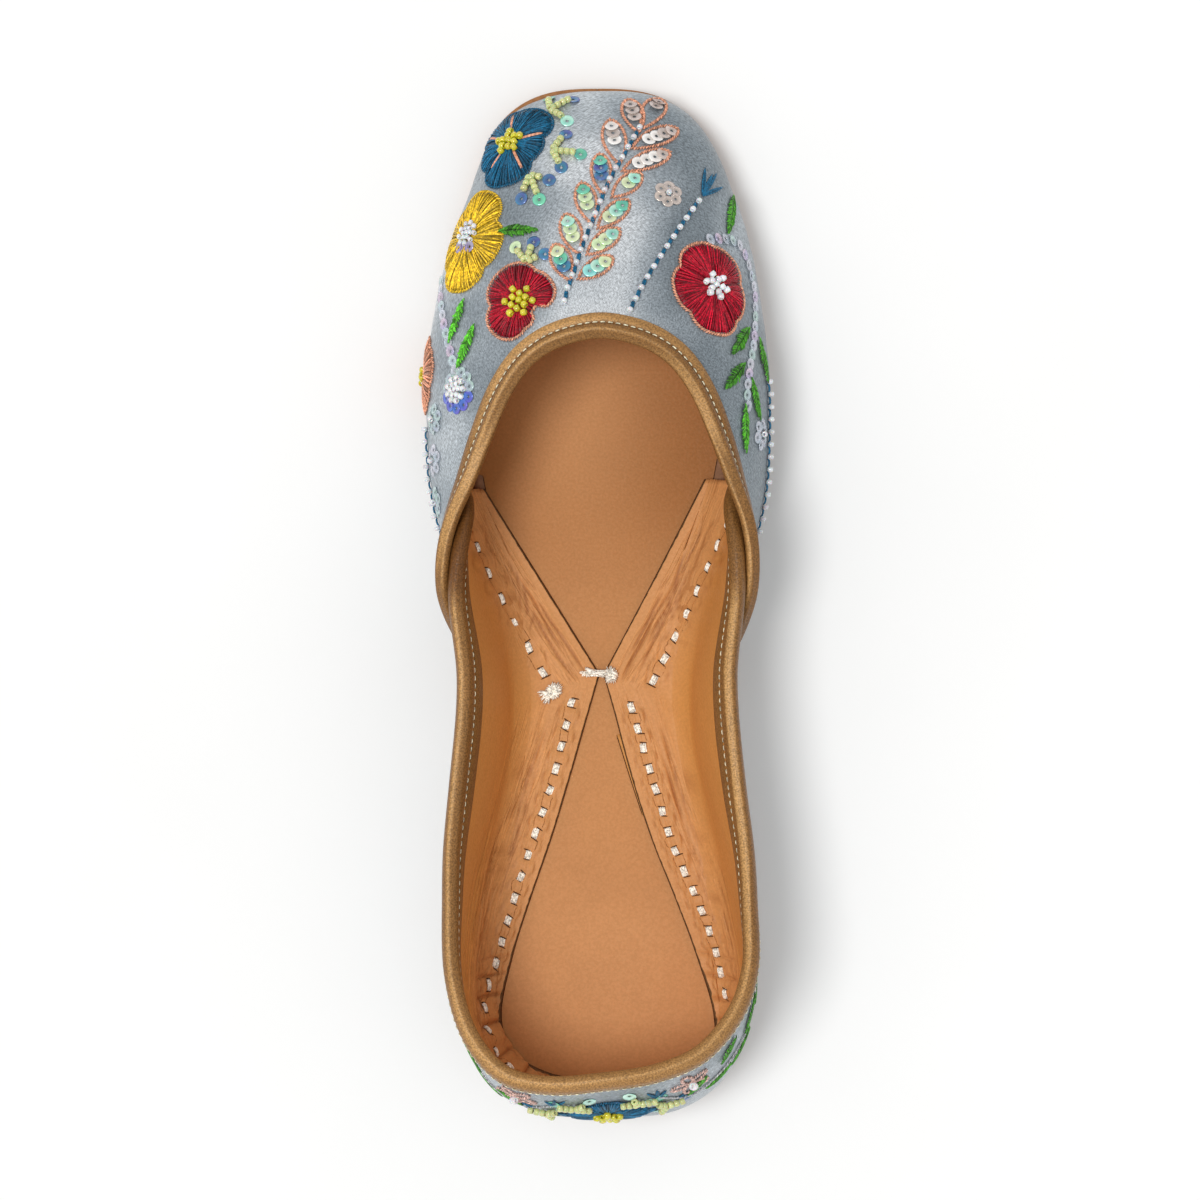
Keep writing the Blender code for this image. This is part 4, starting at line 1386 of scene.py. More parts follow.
# How far a crease takes to open at its ends, and how its course wanders
LONG_CREASE = {"fade": 14.0, "sway": 0.5, "sway_length": 0.034, "seed": 50}
STRAP_CREASE = {"fade": 6.0, "sway": 0.4, "sway_length": 0.020, "seed": 120}
PLEAT_PITCH = 5.6


def crease_course(reach, along, line, crease, kind, order):
    """How far each point lies from a crease, and how open the crease is there."""
    sway = kind["sway"] * MM * wave(along, kind["sway_length"], kind["seed"] + order)
    fade = kind["fade"]
    rear, front = crease["rear"], crease["front"]
    ends = between(rear * MM, (rear + fade) * MM, (front - fade) * MM, front * MM, along)
    return reach - (line + sway), ends


def fold_in(relief, depth, away, here, crease):
    """A sharp trough with a low ridge on each side of it, added to the relief, and its depth, which paints
    shade into the trough.
    """
    width = crease["width"] * MM
    ridges = 0.35 * hill(away, 2.2 * width) - 1.2 * hill(away, width)
    relief += here * (crease["depth"] * MM * ridges)
    depth += here * hill(away, 0.8 * crease["width"] * MM)


def add_creases(relief, depth, wall, reach, along):
    """The long creases on the wall and flange, and the short ones on the straps."""
    left = wall < 0.0
    share = smoothstep(-30.0 * MM, -88.0 * MM, along)
    for order, crease in enumerate(named_rows(LONG_CREASES)):
        line = (crease["near"] + (crease["far"] - crease["near"]) * share) * MM
        away, ends = crease_course(reach, along, line, crease, LONG_CREASE, order)
        ends = ends * (0.75 + 0.25 * wave(along, 0.026, 80 + order))
        here = left == (crease["side"] == "left")
        fold_in(relief, depth, away, here * ends, crease)
    on_strap = np.abs(wall) > FLANGE_CROSSING["wall"]
    for order, crease in enumerate(named_rows(STRAP_CREASES)):
        away, ends = crease_course(reach, along, crease["near"] * MM, crease, STRAP_CREASE, order)
        here = (left == (crease["side"] == "left")) & on_strap
        fold_in(relief, depth, away, here * ends, crease)


def add_pleats(relief, depth, reach, place):
    """Pleats between the stitches and the cut edge, gathered round the heel."""
    arc = lengths_along(place[:, -20])[:, None]
    arc = arc - arc[len(arc) // 2]
    beat = np.abs(np.sin(arc * math.pi / (PLEAT_PITCH * MM) + 0.8 * wave(arc, 0.03, 61)))
    gathered = 1.0 - smoothstep(-100.0 * MM, -78.0 * MM, place[..., 1])
    gathered = gathered * between(-0.002, 0.003, 0.009, 0.015, reach)
    relief += gathered * MM * (0.60 * beat - 0.15 - 0.75 * hill(beat, 0.24))
    depth += gathered * hill(beat, 0.14)


def add_stitch_puckers(relief, depth, place):
    """Each row of stitches pulls a trough, and the leather wells up beside and between them.

    High on the wall there is none of it, because the rim's strip lies close over the leather there.
    """
    low = 1.0 - smoothstep(24.0 * MM, 30.0 * MM, place[..., 2])
    for row, count in COTTON_ROWS[1]:
        path = smooth_line(row, ROW_POINTS)
        length = lengths_along(path)
        near = np.linalg.norm(seen_on_insole(place)[..., None, :] - path, axis=-1)
        nearest = near.argmin(axis=-1)
        away = near.min(axis=-1)
        beat = np.cos(length[nearest] / length[-1] * (count - 1) * 2 * math.pi)
        relief -= low * MM * hill(away, 1.2 * MM) * (0.12 + 0.40 * beat)
        relief += low * MM * hill(away - 2.0 * MM, 0.7 * MM) * (0.20 - 0.22 * beat)
        rim = low * hill(away - (2.3 - 0.5 * beat) * MM, 0.3 * MM)
        relief -= 0.25 * MM * rim
        depth += 0.55 * rim * (0.7 - 0.3 * beat)


def lining_relief(wall, reach, place):
    """The folds of the turned-in leather: long creases, heel pleats and puckers at the stitches.

    Returns the relief, and how deep in a fold each point lies, from 0 to 1, which sets the painted shade in
    the folds.
    """
    along = place[..., 1]
    relief = np.zeros_like(reach)
    depth = np.zeros_like(reach)
    add_creases(relief, depth, wall, reach, along)
    add_pleats(relief, depth, reach, place)
    add_stitch_puckers(relief, depth, place)
    gentle = soft_noise(place[..., 0], along + place[..., 2], 0.012, 21)
    relief += 0.06 * MM * gentle * smoothstep(0.002, 0.010, reach)
    return relief, np.clip(depth, 0.0, 1.0)


ROUND_EDGE_POINTS = 4
# The sole pieces' first and last sections stand this far in from the outline's ends
END_STATION = 2e-4


def rounded_plate(name, stations, inset, low, high, edge, across, materials, relief=None, painted_shading=None):
    """A sheet of leather in the sole's outline with rounded edges."""
    turns = np.linspace(0.0, math.pi / 2, ROUND_EDGE_POINTS + 1)
    spread = np.linspace(-1.0, 1.0, across)
    sections = []
    for station in stations:
        near = inset(station)
        inner = edge_point(station, near + edge)[0]
        outer = edge_point(station, near)[0]
        under = [(inner[0] * s, inner[1], low(inner[1])) for s in spread]
        over = [(inner[0] * s, inner[1], high(inner[1])) for s in spread[::-1]]
        right = []
        for face, lift, order in ((low, edge, turns[1:]), (high, -edge, turns[:0:-1])):
            for turn in order:
                x, y = inner + (outer - inner) * math.sin(turn)
                right.append((x, y, face(y) + lift * (1 - math.cos(turn))))
        left = [(-x, y, z) for x, y, z in right[::-1]]
        sections.append(lasted(np.array(under + right + over + left)))
    sections = np.array(sections)
    if relief is not None:
        first = across + 2 * ROUND_EDGE_POINTS
        top = slice(first, first + across)
        sections[:, top, 2] += relief(sections[:, top, 0], sections[:, top, 1])
    # painted_shading gives the top its painted light and shade
    rubbed = None if painted_shading is None else painted_shading(sections[..., 0], sections[..., 1])
    return ring_mesh(name, sections, materials, rubbed)


def sagged(x, y):
    """The insole's soft hollows and humps."""
    return 0.10 * MM * soft_noise(x, y, 0.045, 41)


def painted_insole_light(x, y):
    """Painted light and shade on the insole: light where the vamp leaves it open, with a darker band across
    its middle, and painted shade under the vamp but for a painted light streak there.
    """
    across = np.abs(x + 0.003) / 0.034
    behind = 0.37 + 0.63 * (1.0 - smoothstep(-0.035, 0.030, y)) * (1.05 - 0.4 * across**3)
    behind = behind - 0.24 * between(-0.085, -0.065, -0.020, 0.0, y)
    off = x + 0.010
    streak = hill(off, np.where(off > 0.0, 0.0225, 0.017))
    ahead = streak * (0.62 + 0.5 * smoothstep(0.020, 0.055, y))
    share = smoothstep(0.0, 0.032, y)
    return np.clip(behind * (1.0 - share) + ahead * share, 0.0, 1.1)


def build_soles(materials):
    turn = np.linspace(0.0, 1.0, 221)
    stations = turn + 0.03 / math.pi * np.sin(2 * math.pi * turn)
    stations[0], stations[-1] = END_STATION, 1 - END_STATION
    thing = rounded_plate(
        "outsole_leather", stations, lambda station: 0.0, sole_floor,
        lambda y: sole_floor(y) + OUTSOLE_THICKNESS, 0.6 * MM, 25, [materials["sole"]],
    )
    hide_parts("outsole")
    stations_of_lift = np.linspace(END_STATION, station_at(LIFT_BREAST), 90)
    thing = rounded_plate(
        "stacked_lift", stations_of_lift, lambda station: GAP, lambda y: 0.0,
        lambda y: HEEL_HEIGHT - GAP, 0.4 * MM, 17, [materials["lift"]],
    )
    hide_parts("heel_lift")
    thing = rounded_plate(
        "insole_sock", stations, insole_inset, feather_height, insole_top, 0.4 * MM, 61,
        [materials["insole"]], sagged, painted_insole_light,
    )
    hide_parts("insole")


# ---------------------------------------------------------------------------------------------
# Embroidery. Angles are read like a compass on the cloth: 0 towards the toe, 90 to the right
# for someone who looks at the cloth from outside with the toe up. Places and lengths are in mm.
# ---------------------------------------------------------------------------------------------


class Cloth:
    """A finished surface that threads, beads and stitches are laid on."""

    def __init__(self, grid, outward=1.0):
        rows, columns = grid.shape[:2]
        quads = grid_quads(rows, columns)
        self.tree = BVHTree.FromPolygons(grid.reshape(-1, 3).tolist(), quads.tolist())
        self.normals = outward * unit(grid_normals(grid)).reshape(-1, 3)
        self.quads = quads

    def read(self, hits):
        places = np.array([hit[0] for hit in hits])
        faces = np.array([hit[2] for hit in hits])
        return places, unit(self.normals[self.quads[faces]].mean(axis=1))

    def nearest(self, points):
        """The surface nearest to these points: places and normals."""
        points = np.asarray(points, float)
        hits = [self.tree.find_nearest(Vector(p)) for p in points.reshape(-1, 3)]
        places, normals = self.read(hits)
        return places.reshape(points.shape), normals.reshape(points.shape)

    def below(self, points):
        """The surface straight below these points, or the nearest where there is none."""
        points = np.asarray(points, float)
        down = Vector((0.0, 0.0, -1.0))
        hits = []
        for x, y in points.reshape(-1, points.shape[-1])[:, :2]:
            hit = self.tree.ray_cast(Vector((x, y, 0.2)), down)
            if hit[0] is None:
                hit = self.tree.find_nearest(Vector((x, y, 0.02)))
            hits.append(hit)
        places, normals = self.read(hits)
        shape = (*points.shape[:-1], 3)
        return places.reshape(shape), normals.reshape(shape)

    def spot(self, place):
        """A place on the cloth from (x, y), seen from above, or from (x, y, z) beside it, in mm."""
        point = np.array(place, float) * MM
        found = self.below(point[None]) if len(place) == 2 else self.nearest(point[None])
        return found[0][0], found[1][0]


class Motif:
    """A flat drawing board that touches the cloth at one place."""

    def __init__(self, cloth, place):
        self.cloth = cloth
        self.centre, self.normal = cloth.spot(place)
        toe = np.array([0.0, 1.0, 0.0])
        self.ahead = unit(toe - self.normal * self.normal[1])
        self.right = np.cross(self.ahead, self.normal)

    def lay(self, angle, distance):
        """Points at these compass angles in degrees and distances in mm, pressed onto the cloth."""
        angle, distance = np.broadcast_arrays(np.radians(angle), np.asarray(distance, float) * MM)
        flat = (
            self.centre
            + (np.sin(angle) * distance)[..., None] * self.right
            + (np.cos(angle) * distance)[..., None] * self.ahead
        )
        start = flat + self.normal * 0.02
        down = Vector(-self.normal)
        hits = []
        for p in start.reshape(-1, 3):
            hit = self.cloth.tree.ray_cast(Vector(p), down, 0.05)
            if hit[0] is None:
                hit = self.cloth.tree.find_nearest(Vector(p))
            hits.append(hit)
        places, normals = self.cloth.read(hits)
        return places.reshape(flat.shape), normals.reshape(flat.shape)


class Heap:
    """Many small closed pieces gathered into one mesh, with a tone for each."""

    def __init__(self, name):
        self.name = name
        self.points = []
        self.faces = []
        self.slots = []
        self.tones = []
        self.materials = []
        self.count = 0

    def add(self, points, quads, material, tone=1.0):
        """Points (pieces, corners, 3) that share one set of quads. Tone: one a piece, or one a corner."""
        pieces, corners = points.shape[:2]
        if material not in self.materials:
            self.materials.append(material)
        offsets = self.count + corners * np.arange(pieces)[:, None, None]
        self.faces.append((quads[None] + offsets).reshape(-1, 4))
        self.points.append(points.reshape(-1, 3))
        self.slots.append(np.full(pieces * len(quads), self.materials.index(material)))
        tone = np.asarray(tone, float)
        tone = tone if tone.ndim == 2 else tone.reshape(-1, 1)
        self.tones.append(np.broadcast_to(tone, (pieces, corners)).reshape(-1))
        self.count += pieces * corners

    def build(self):
        faces = np.concatenate(self.faces)
        thing = mesh_object(
            self.name, np.concatenate(self.points), faces, self.materials, np.concatenate(self.slots)
        )
        add_values(thing.data, "tone", np.concatenate(self.tones))
        return thing


THREAD_SIDES = 4
THREAD_TIP = 0.35


def thread_quads(rings):
    """Quads of a four-sided tube through this many rings, with both ends closed."""
    last = (rings - 1) * THREAD_SIDES
    caps = np.array([[0, 1, 2, 3], [last + 3, last + 2, last + 1, last]])
    return np.concatenate([grid_quads(rings, THREAD_SIDES, wrap=True, flip=True), caps])


def add_threads(heap, paths, normals, radius, material, tone=1.0, flat=0.8, lift=0.5):
    """Threads along paths (threads, points, 3): four-sided, thinner at both ends."""
    run = unit(np.gradient(paths, axis=1))
    across = unit(np.cross(run, normals))
    high = np.cross(across, run)
    high *= np.sign((high * normals).sum(-1, keepdims=True))
    count = paths.shape[1]
    shape = np.full(count, 1.0)
    shape[0] = shape[-1] = THREAD_TIP
    size = (np.asarray(radius, float).reshape(-1, 1) * shape * np.ones((len(paths), 1)))[..., None]
    middle = paths + high * size * lift
    wide, thick = across * size, high * size * flat
    rings = np.stack([middle + wide, middle + thick, middle - wide, middle - thick], axis=2)
    heap.add(rings.reshape(len(paths), -1, 3), thread_quads(count), material, tone)


def along_path(points, pitch, start=0.0):
    """Evenly spaced points on a polyline, and the direction there."""
    points = np.asarray(points, float)
    length = lengths_along(points)
    at = np.arange(start, length[-1], pitch)
    spaced = np.stack([np.interp(at, length, points[:, k]) for k in range(3)], -1)
    ahead = np.stack([np.interp(at + 1e-5, length, points[:, k]) for k in range(3)], -1)
    behind = np.stack([np.interp(at - 1e-5, length, points[:, k]) for k in range(3)], -1)
    return spaced, unit(ahead - behind)


def smooth_path(points, count):
    """A smooth curve through a few hand-placed points."""
    points = np.asarray(points, float)
    places = lengths_along(points)
    at = np.linspace(0.0, places[-1], count)
    return np.stack([through(places, points[:, k], at) for k in range(points.shape[1])], -1)


def smooth_line(points, count):
    """The same from places in mm."""
    return smooth_path(np.array(points) * MM, count)


def straight(ends, shares):
    """Points at these shares of the way from the first end to the second."""
    return ends[0] + (ends[1] - ends[0]) * np.asarray(shares)[:, None]


# A short stitch: points along it as shares of its length, and how far they bow off the cloth
DASH_POINTS = np.array([-0.5, -0.3, 0.0, 0.3, 0.5])
DASH_BOW = np.array([-0.5, 0.25, 0.5, 0.25, -0.5])


def add_dashes(
    heap, centres, directions, normals, length, radius, material, tone=1.0, flat=0.8, lift=0.5,
):
    """Short straight stitches, each bowed a little off the surface."""
    length = np.asarray(length, float).reshape(-1, 1, 1)
    paths = centres[:, None] + directions[:, None] * DASH_POINTS[None, :, None] * length
    thick = np.asarray(radius, float).reshape(-1, 1, 1)
    paths = paths + normals[:, None] * DASH_BOW[None, :, None] * thick
    across = np.broadcast_to(normals[:, None], paths.shape)
    add_threads(heap, paths, across, radius, material, tone, flat, lift)


def tones(count, spread=0.16):
    """How light each of some small pieces is: 1, more or less."""
    return 1.0 + RANDOM.uniform(-spread, spread, count)


def add_twist(heap, cloth, path, material, pitch=0.74, length=1.12, radius=0.25, slant=38.0):
    """A twisted cord: short slanted stitches that overlap along the path."""
    spaced, run = along_path(path, pitch * MM)
    places, normals = cloth.nearest(spaced)
    turn = math.radians(slant)
    side = np.cross(normals, run)
    leaning = unit(run * math.cos(turn) + side * math.sin(turn))
    # Every second stitch is painted darker: painted shade between the turns of the twist
    add_dashes(
        heap, places + normals * 0.1 * MM, leaning, normals, length * MM, radius * MM, material,
        tones(len(places), 0.12) * np.where(np.arange(len(places)) % 2, 1.0, 0.74), flat=0.9, lift=0.7,
    )


BEAD_AROUND = 12
BEAD_SECTION = 6
BEAD_HOLE = 0.28


def add_beads(heap, centres, axes, normals, wide, long, material, tone):
    """Glass beads: short tubes with round walls, lying on their sides."""
    around = np.linspace(0.0, 2 * math.pi, BEAD_AROUND, endpoint=False)
    section = np.linspace(0.0, 2 * math.pi, BEAD_SECTION, endpoint=False)
    wall = (0.5 - BEAD_HOLE / 2) / 2
    ring = 0.5 - wall
    radial = ring + wall * np.sign(np.cos(section)) * np.abs(np.cos(section)) ** 0.8
    axial = 0.5 * np.sign(np.sin(section)) * np.abs(np.sin(section)) ** 0.7
    up = unit(normals - axes * (normals * axes).sum(-1, keepdims=True))
    side = np.cross(axes, up)
    wide = np.asarray(wide, float).reshape(-1, 1, 1, 1)
    long = np.asarray(long, float).reshape(-1, 1, 1, 1)
    circle = (
        np.cos(around)[None, :, None] * up[:, None] + np.sin(around)[None, :, None] * side[:, None]
    )
    points = (
        centres[:, None, None]
        + circle[:, :, None] * radial[None, None, :, None] * wide
        + axes[:, None, None] * axial[None, None, :, None] * long
    )
    quads = grid_quads(BEAD_AROUND + 1, BEAD_SECTION, wrap=True)
    quads = quads % (BEAD_AROUND * BEAD_SECTION)
    heap.add(points.reshape(len(centres), -1, 3), quads, material, tone)


SEQUIN_AROUND = 22
SEQUIN_LEAN = math.radians(9.0)
# A sequin's section, on its top face from the hole to the rim and then back below: radius as a
# share of the disc's, height in mm, and its painted light: a highlight at the rim, shade by the hole
SEQUIN_SECTION = (
    (0.22, 0.02, 0.62), (0.30, 0.07, 0.74), (0.68, 0.10, 0.98),
    (1.0, 0.22, 1.12), (1.0, 0.22 - 0.07, 0.95), (0.22, -0.05, 0.7),
)
# Size and height above the cloth, in mm, unless a place needs others
SEQUIN_SIZE = 2.9
SEQUIN_RISE = 0.15


def add_sequins(heap, centres, normals, tilts, material, size, tone):
    """Cupped discs with a hole. Tilts are directions in which the disc's edge goes down."""
    around = np.linspace(0.0, 2 * math.pi, SEQUIN_AROUND, endpoint=False)
    section = np.array(SEQUIN_SECTION)
    face = unit(normals * math.cos(SEQUIN_LEAN) + tilts * math.sin(SEQUIN_LEAN))
    one = unit(np.cross(face, tilts + 1e-9))
    two = np.cross(face, one)
    cosine, sine = np.cos(around)[None, :, None], np.sin(around)[None, :, None]
    circle = cosine * one[:, None] + sine * two[:, None]
    points = (
        centres[:, None, None]
        + circle[:, :, None] * section[None, None, :, 0, None] * (size * MM / 2)
        + face[:, None, None] * section[None, None, :, 1, None] * MM
    )
    corners = SEQUIN_AROUND * len(section)
    quads = grid_quads(SEQUIN_AROUND + 1, len(section), wrap=True, flip=True) % corners
    rings = np.tile(section[:, 2], SEQUIN_AROUND)
    heap.add(points.reshape(len(centres), -1, 3), quads, material, tone.reshape(-1, 1) * rings)


def sew_sequins(
    heaps, materials, places, normals, tilts, kind, rise=SEQUIN_RISE, size=SEQUIN_SIZE, spread=0.08,
):
    """Sequins of one kind at places on the cloth."""
    lifted = places + normals * rise * MM
    material = materials["sequin_" + kind]
    add_sequins(heaps["sequins"], lifted, normals, tilts, material, size, tones(len(places), spread))


PETAL_FLOWERS = (
    # petals: angle, length and half width of each petal, the widths in degrees
    # edge: the thread of its twisted outline, where it isn't the petals' own
    # waist: how far in the outline comes between two petals, as a share of their length
    ("name", "place", "petals", "thread", "edge", "waist"),
    (
        ("blue", (-21.1, 110.9), ((20, 11.8, 43), (105, 8.8, 41), (171, 12.2, 38), (246, 9.4, 40),
                                 (317, 11.8, 38)), "blue_thread", "", 0.84),
        ("yellow", (-31.2, 87.6, 24.4), ((8, 12.4, 46), (108, 11.0, 48), (176, 13.6, 40), (244, 10.6, 38),
                                        (306, 10.4, 38)), "yellow_thread", "", 0.80),
        ("left_red", (-17.9, 71.1), ((326, 10.4, 48), (48, 8.8, 42), (122, 3.9, 40), (178, 7.0, 36),
                                     (218, 9.6, 44)), "red_thread", "peach_thread", 0.86),
        ("right_red", (28.4, 75.1, 33.0), ((344, 11.3, 36), (38, 11.0, 37), (120, 10.0, 42), (190, 11.9, 38),
                                          (264, 10.8, 40)), "red_thread", "peach_thread", 0.88),
        ("peach", (-42.4, 54.5, 14.0), ((0, 9.6, 42), (72, 9.4, 42), (144, 9.6, 42), (216, 9.4, 42),
                                       (288, 9.6, 42)), "peach_thread", "", 0.88),
    ),
)


def petal_reach(angle, petals, waist):
    """How far out the flower's edge lies in each direction."""
    reach = np.zeros_like(angle)
    longest = max(length for _, length, _ in petals)
    for direction, length, half in petals:
        away = np.abs((angle - direction + 180.0) % 360.0 - 180.0) / half
        lobe = length * np.clip(1.0 - np.clip(away, 0.0, 1.4) ** 3.0 * (1.0 - waist), 0.0, 1.0)
        reach = np.maximum(reach, np.where(away < 1.25, lobe, 0.0))
    return np.maximum(reach, 0.30 * longest)


# The bed under a flower's threads: its points, its least height in mm, how far in its edge lies
# from the petals', and how deep its underside sinks into the cloth
BED_AROUND = 97
BED_ACROSS = 7
BED_LOWEST = 0.16
BED_RISE = 0.62
BED_INSET = 0.35
BED_SUNK = 0.05
# Layers of petal stitches: long ones to the edge, then shorter ones over their ends. Where they
# start and end as shares of the way out, their pitch and radius, and how high they lie above the bed
PETAL_LAYERS = (
    (0.30, 1.0, 0.50, 0.17, 0.0),
    (0.50, 1.02, 0.86, 0.19, 0.10),
    (0.08, 0.62, 0.66, 0.19, 0.08),
)
# How many petal stitches are painted darker, as painted shade from their neighbours, and how light the dark
# ones and the others are
DARK_SHARE, DARK, LIGHT = 0.24, 0.50, 1.12


def petal_height(angle, share, petals, waist):
    """A flower's bed is highest in the middle of each petal and low between petals."""
    crown = petal_reach(angle, petals, waist) / petal_reach(angle, petals, 1.0)
    dome = np.sin(np.clip(share, 0.0, 1.0) ** 0.9 * math.pi) ** 0.7
    return (BED_LOWEST + BED_RISE * dome * np.clip(2.2 * crown - 1.2, 0.15, 1.0)) * MM


def add_petal_bed(heap, material, motif, petals, waist):
    """The raised bed under a flower's threads, at half their lightness: painted shade in the gaps between
    them.
    """
    around = np.linspace(0.0, 360.0, BED_AROUND)
    shares = np.linspace(0.02, 1.0, BED_ACROSS)
    angle, share = np.meshgrid(around, shares, indexing="ij")
    places, normals = motif.lay(angle, (petal_reach(angle, petals, waist) - BED_INSET) * share)
    top = places + normals * (petal_height(angle, share, petals, waist) - BED_LOWEST * MM)[..., None]
    bottom = places - normals * BED_SUNK * MM
    count = BED_AROUND * BED_ACROSS
    faces = [grid_quads(BED_AROUND, BED_ACROSS, flip=True), grid_quads(BED_AROUND, BED_ACROSS, count)]
    rim = np.arange(BED_AROUND) * BED_ACROSS + BED_ACROSS - 1
    faces.append(np.stack([rim[:-1], rim[1:], rim[1:] + count, rim[:-1] + count], -1))
    points = np.concatenate([top.reshape(-1, 3), bottom.reshape(-1, 3)])
    heap.add(points[None], np.concatenate(faces), material, 0.5)


def middle_line(angle, petals):
    """The compass angle of the petal that this direction lies in."""
    return min(petals, key=lambda petal: abs((angle - petal[0] + 180) % 360 - 180))[0]


def add_petal_stitches(heap, material, motif, petals, waist, layer):
    """One layer of long stitches that lean towards the middle line of their petal."""
    first, last, pitch, radius, rise = layer
    fine = np.linspace(0.0, 360.0, 721)
    step = petal_reach(fine, petals, waist) * 0.85 * last * math.radians(0.5)
    total = np.cumsum(step)
    number = int(total[-1] / pitch)
    angle = np.interp((np.arange(number) + 0.5) / number * total[-1], total, fine)
    angle = angle + RANDOM.uniform(-1.2, 1.2, number)
    near = np.array([middle_line(a, petals) for a in angle])
    off = (near - angle + 180.0) % 360.0 - 180.0
    start = np.clip(first + RANDOM.uniform(-0.07, 0.07, number), 0.04, 1.0)
    end = last + RANDOM.uniform(-0.045, 0.02, number)
    shares = start[:, None] + (end - start)[:, None] * np.linspace(0.0, 1.0, 6)[None, :]
    sway = RANDOM.uniform(-2.4, 2.4, (number, 1)) * np.sin(shares * math.pi)
    bend = angle[:, None] + off[:, None] * 0.22 * (1.0 - shares) + sway
    reach = petal_reach(angle, petals, waist)[:, None]
    places, normals = motif.lay(bend, np.maximum(reach * shares, 0.4))
    lifted = places + normals * (petal_height(bend, shares, petals, waist) + rise * MM)[..., None]
    pairs = np.repeat(RANDOM.uniform(0.72, 1.28, number // 2 + 1), 2)[:number]
    tone = tones(number, 0.22) * pairs * np.where(RANDOM.random(number) < DARK_SHARE, DARK, LIGHT)
    add_threads(heap, lifted, normals, radius * MM, material, tone)


def add_flower(heaps, materials, cloth, place, petals, thread, edge, waist):
    """Petals of long satin stitches that fan out from the middle, over a raised bed."""
    motif = Motif(cloth, place)
    material = materials[thread]
    add_petal_bed(heaps["beds"], material, motif, petals, waist)
    for layer in PETAL_LAYERS:
        add_petal_stitches(heaps["petals"], material, motif, petals, waist, layer)
    fine = np.linspace(0.0, 360.0, 241)
    outline = petal_reach(fine, petals, waist)
    if edge:
        # A twisted cord
        add_twist(heaps["cords"], cloth, motif.lay(fine, outline + 0.25)[0], materials[edge])
    else:
        # The threads' own knotted edge
        ring = motif.lay(fine, outline + 0.05)[0]
        add_twist(heaps["cords"], cloth, ring, material, 0.62, 0.85, 0.20, 48.0)
    return motif


def add_bead_cluster(heaps, material, motif, spots, wide, long, height):
    """Beads at these compass angles and distances, each turned its own way."""
    spots = np.array(spots, float)
    places, normals = motif.lay(spots[:, 0], spots[:, 1])
    turn = RANDOM.uniform(0, math.pi, len(spots))
    side = np.cross(normals, motif.ahead)
    axes = unit(motif.ahead * np.cos(turn)[:, None] + side * np.sin(turn)[:, None])
    axes = unit(axes - normals * (axes * normals).sum(-1, keepdims=True) * 0.9)
    lift = (wide / 2 + height) * MM
    sizes = wide * MM * (1.0 + RANDOM.uniform(-0.06, 0.06, len(spots)))
    add_beads(
        heaps["beads"], places + normals * lift, axes, normals, sizes, long * MM, material,
        tones(len(spots), 0.08),
    )


BEAD_RINGS = (
    # A flower's beads: how many each ring has and how far out it lies, the compass angle that the
    # rings start from, and a bead's width, length and height above the cloth
    ("flower", "bead", "counts", "distances", "turn", "wide", "long", "height"),
    (
        ("blue", "yellow_bead", (1, 6, 5), (0.2, 1.75, 2.9), 10.0, 1.9, 1.5, 0.55),
        ("left_red", "yellow_bead", (1, 6, 6), (0.2, 1.9, 3.5), 30.0, 1.8, 1.5, 0.45),
        ("right_red", "white_bead", (1, 5, 6), (0.2, 1.7, 2.9), 0.0, 1.7, 1.45, 0.55),
        ("peach", "yellow_bead", (1, 5), (0.2, 1.7), 0.0, 1.7, 1.3, 0.3),
        ("fringe", "crystal_bead", (1, 6, 9), (0.1, 1.3, 2.7), 5.0, 1.25, 1.2, 0.75),
        ("bunch", "white_bead", (1, 6, 9), (0.1, 1.45, 2.75), 0.0, 1.55, 1.2, 0.05),
    ),
)


def add_bead_rings(heaps, materials, motif, flower):
    """The beads that BEAD_RINGS gives this flower, one ring after another."""
    rings = next(row for row in named_rows(BEAD_RINGS) if row["flower"] == flower)
    spots = []
    for count, distance in zip(rings["counts"], rings["distances"]):
        turn = rings["turn"]
        spots += [(turn + 360.0 * k / count + 17.0 * distance, distance) for k in range(count)]
    bead = materials[rings["bead"]]
    add_bead_cluster(heaps, bead, motif, spots, rings["wide"], rings["long"], rings["height"])


LIME_WIDTH = 1.85
LIME_LENGTH = 1.42
LIME_SPRIGS = (
    # arms: compass angle, length to the sequin, sequin
    ("place", "arms"),
    (
        ((-11.6, 119.0), ((46, 6.6, "violet"), (125, 5.8, "mint"), (344, 6.0, "green"))),
        ((-10.9, 108.6), ((31, 5.9, "violet"), (97, 7.0, "green"), (152, 5.4, "violet"))),
        ((-16.0, 102.4), ((103, 4.9, "violet"), (155, 7.2, "green"), (194, 6.3, "violet"))),
        ((-16.4, 80.8), ((320, 5.6, "yellow"), (10, 5.5, "violet"), (62, 4.8, "violet"))),
    ),
)


def add_sprig(heaps, materials, cloth, place, arms):
    """Three short arms of beads from one root, each with a sequin at its tip."""
    motif = Motif(cloth, place)
    for angle, length, kind in arms:
        distances = np.arange(0.9, length - 1.4, LIME_LENGTH)
        places, normals = motif.lay(np.full(len(distances), float(angle)), distances)
        tip, tip_normal = motif.lay(np.array([angle]), np.array([length]))
        axes = np.broadcast_to(unit(tip[0] - motif.centre), places.shape)
        turned = axes + 0.18 * np.cross(axes, normals) * RANDOM.uniform(-1, 1, (len(places), 1))
        add_beads(
            heaps["beads"], places + normals * 0.95 * MM, unit(turned), normals, LIME_WIDTH * MM,
            LIME_LENGTH * MM, materials["lime_bead"], tones(len(places), 0.07),
        )
        sew_sequins(heaps, materials, tip, tip_normal, axes[:1], kind, size=3.3, spread=0.1)


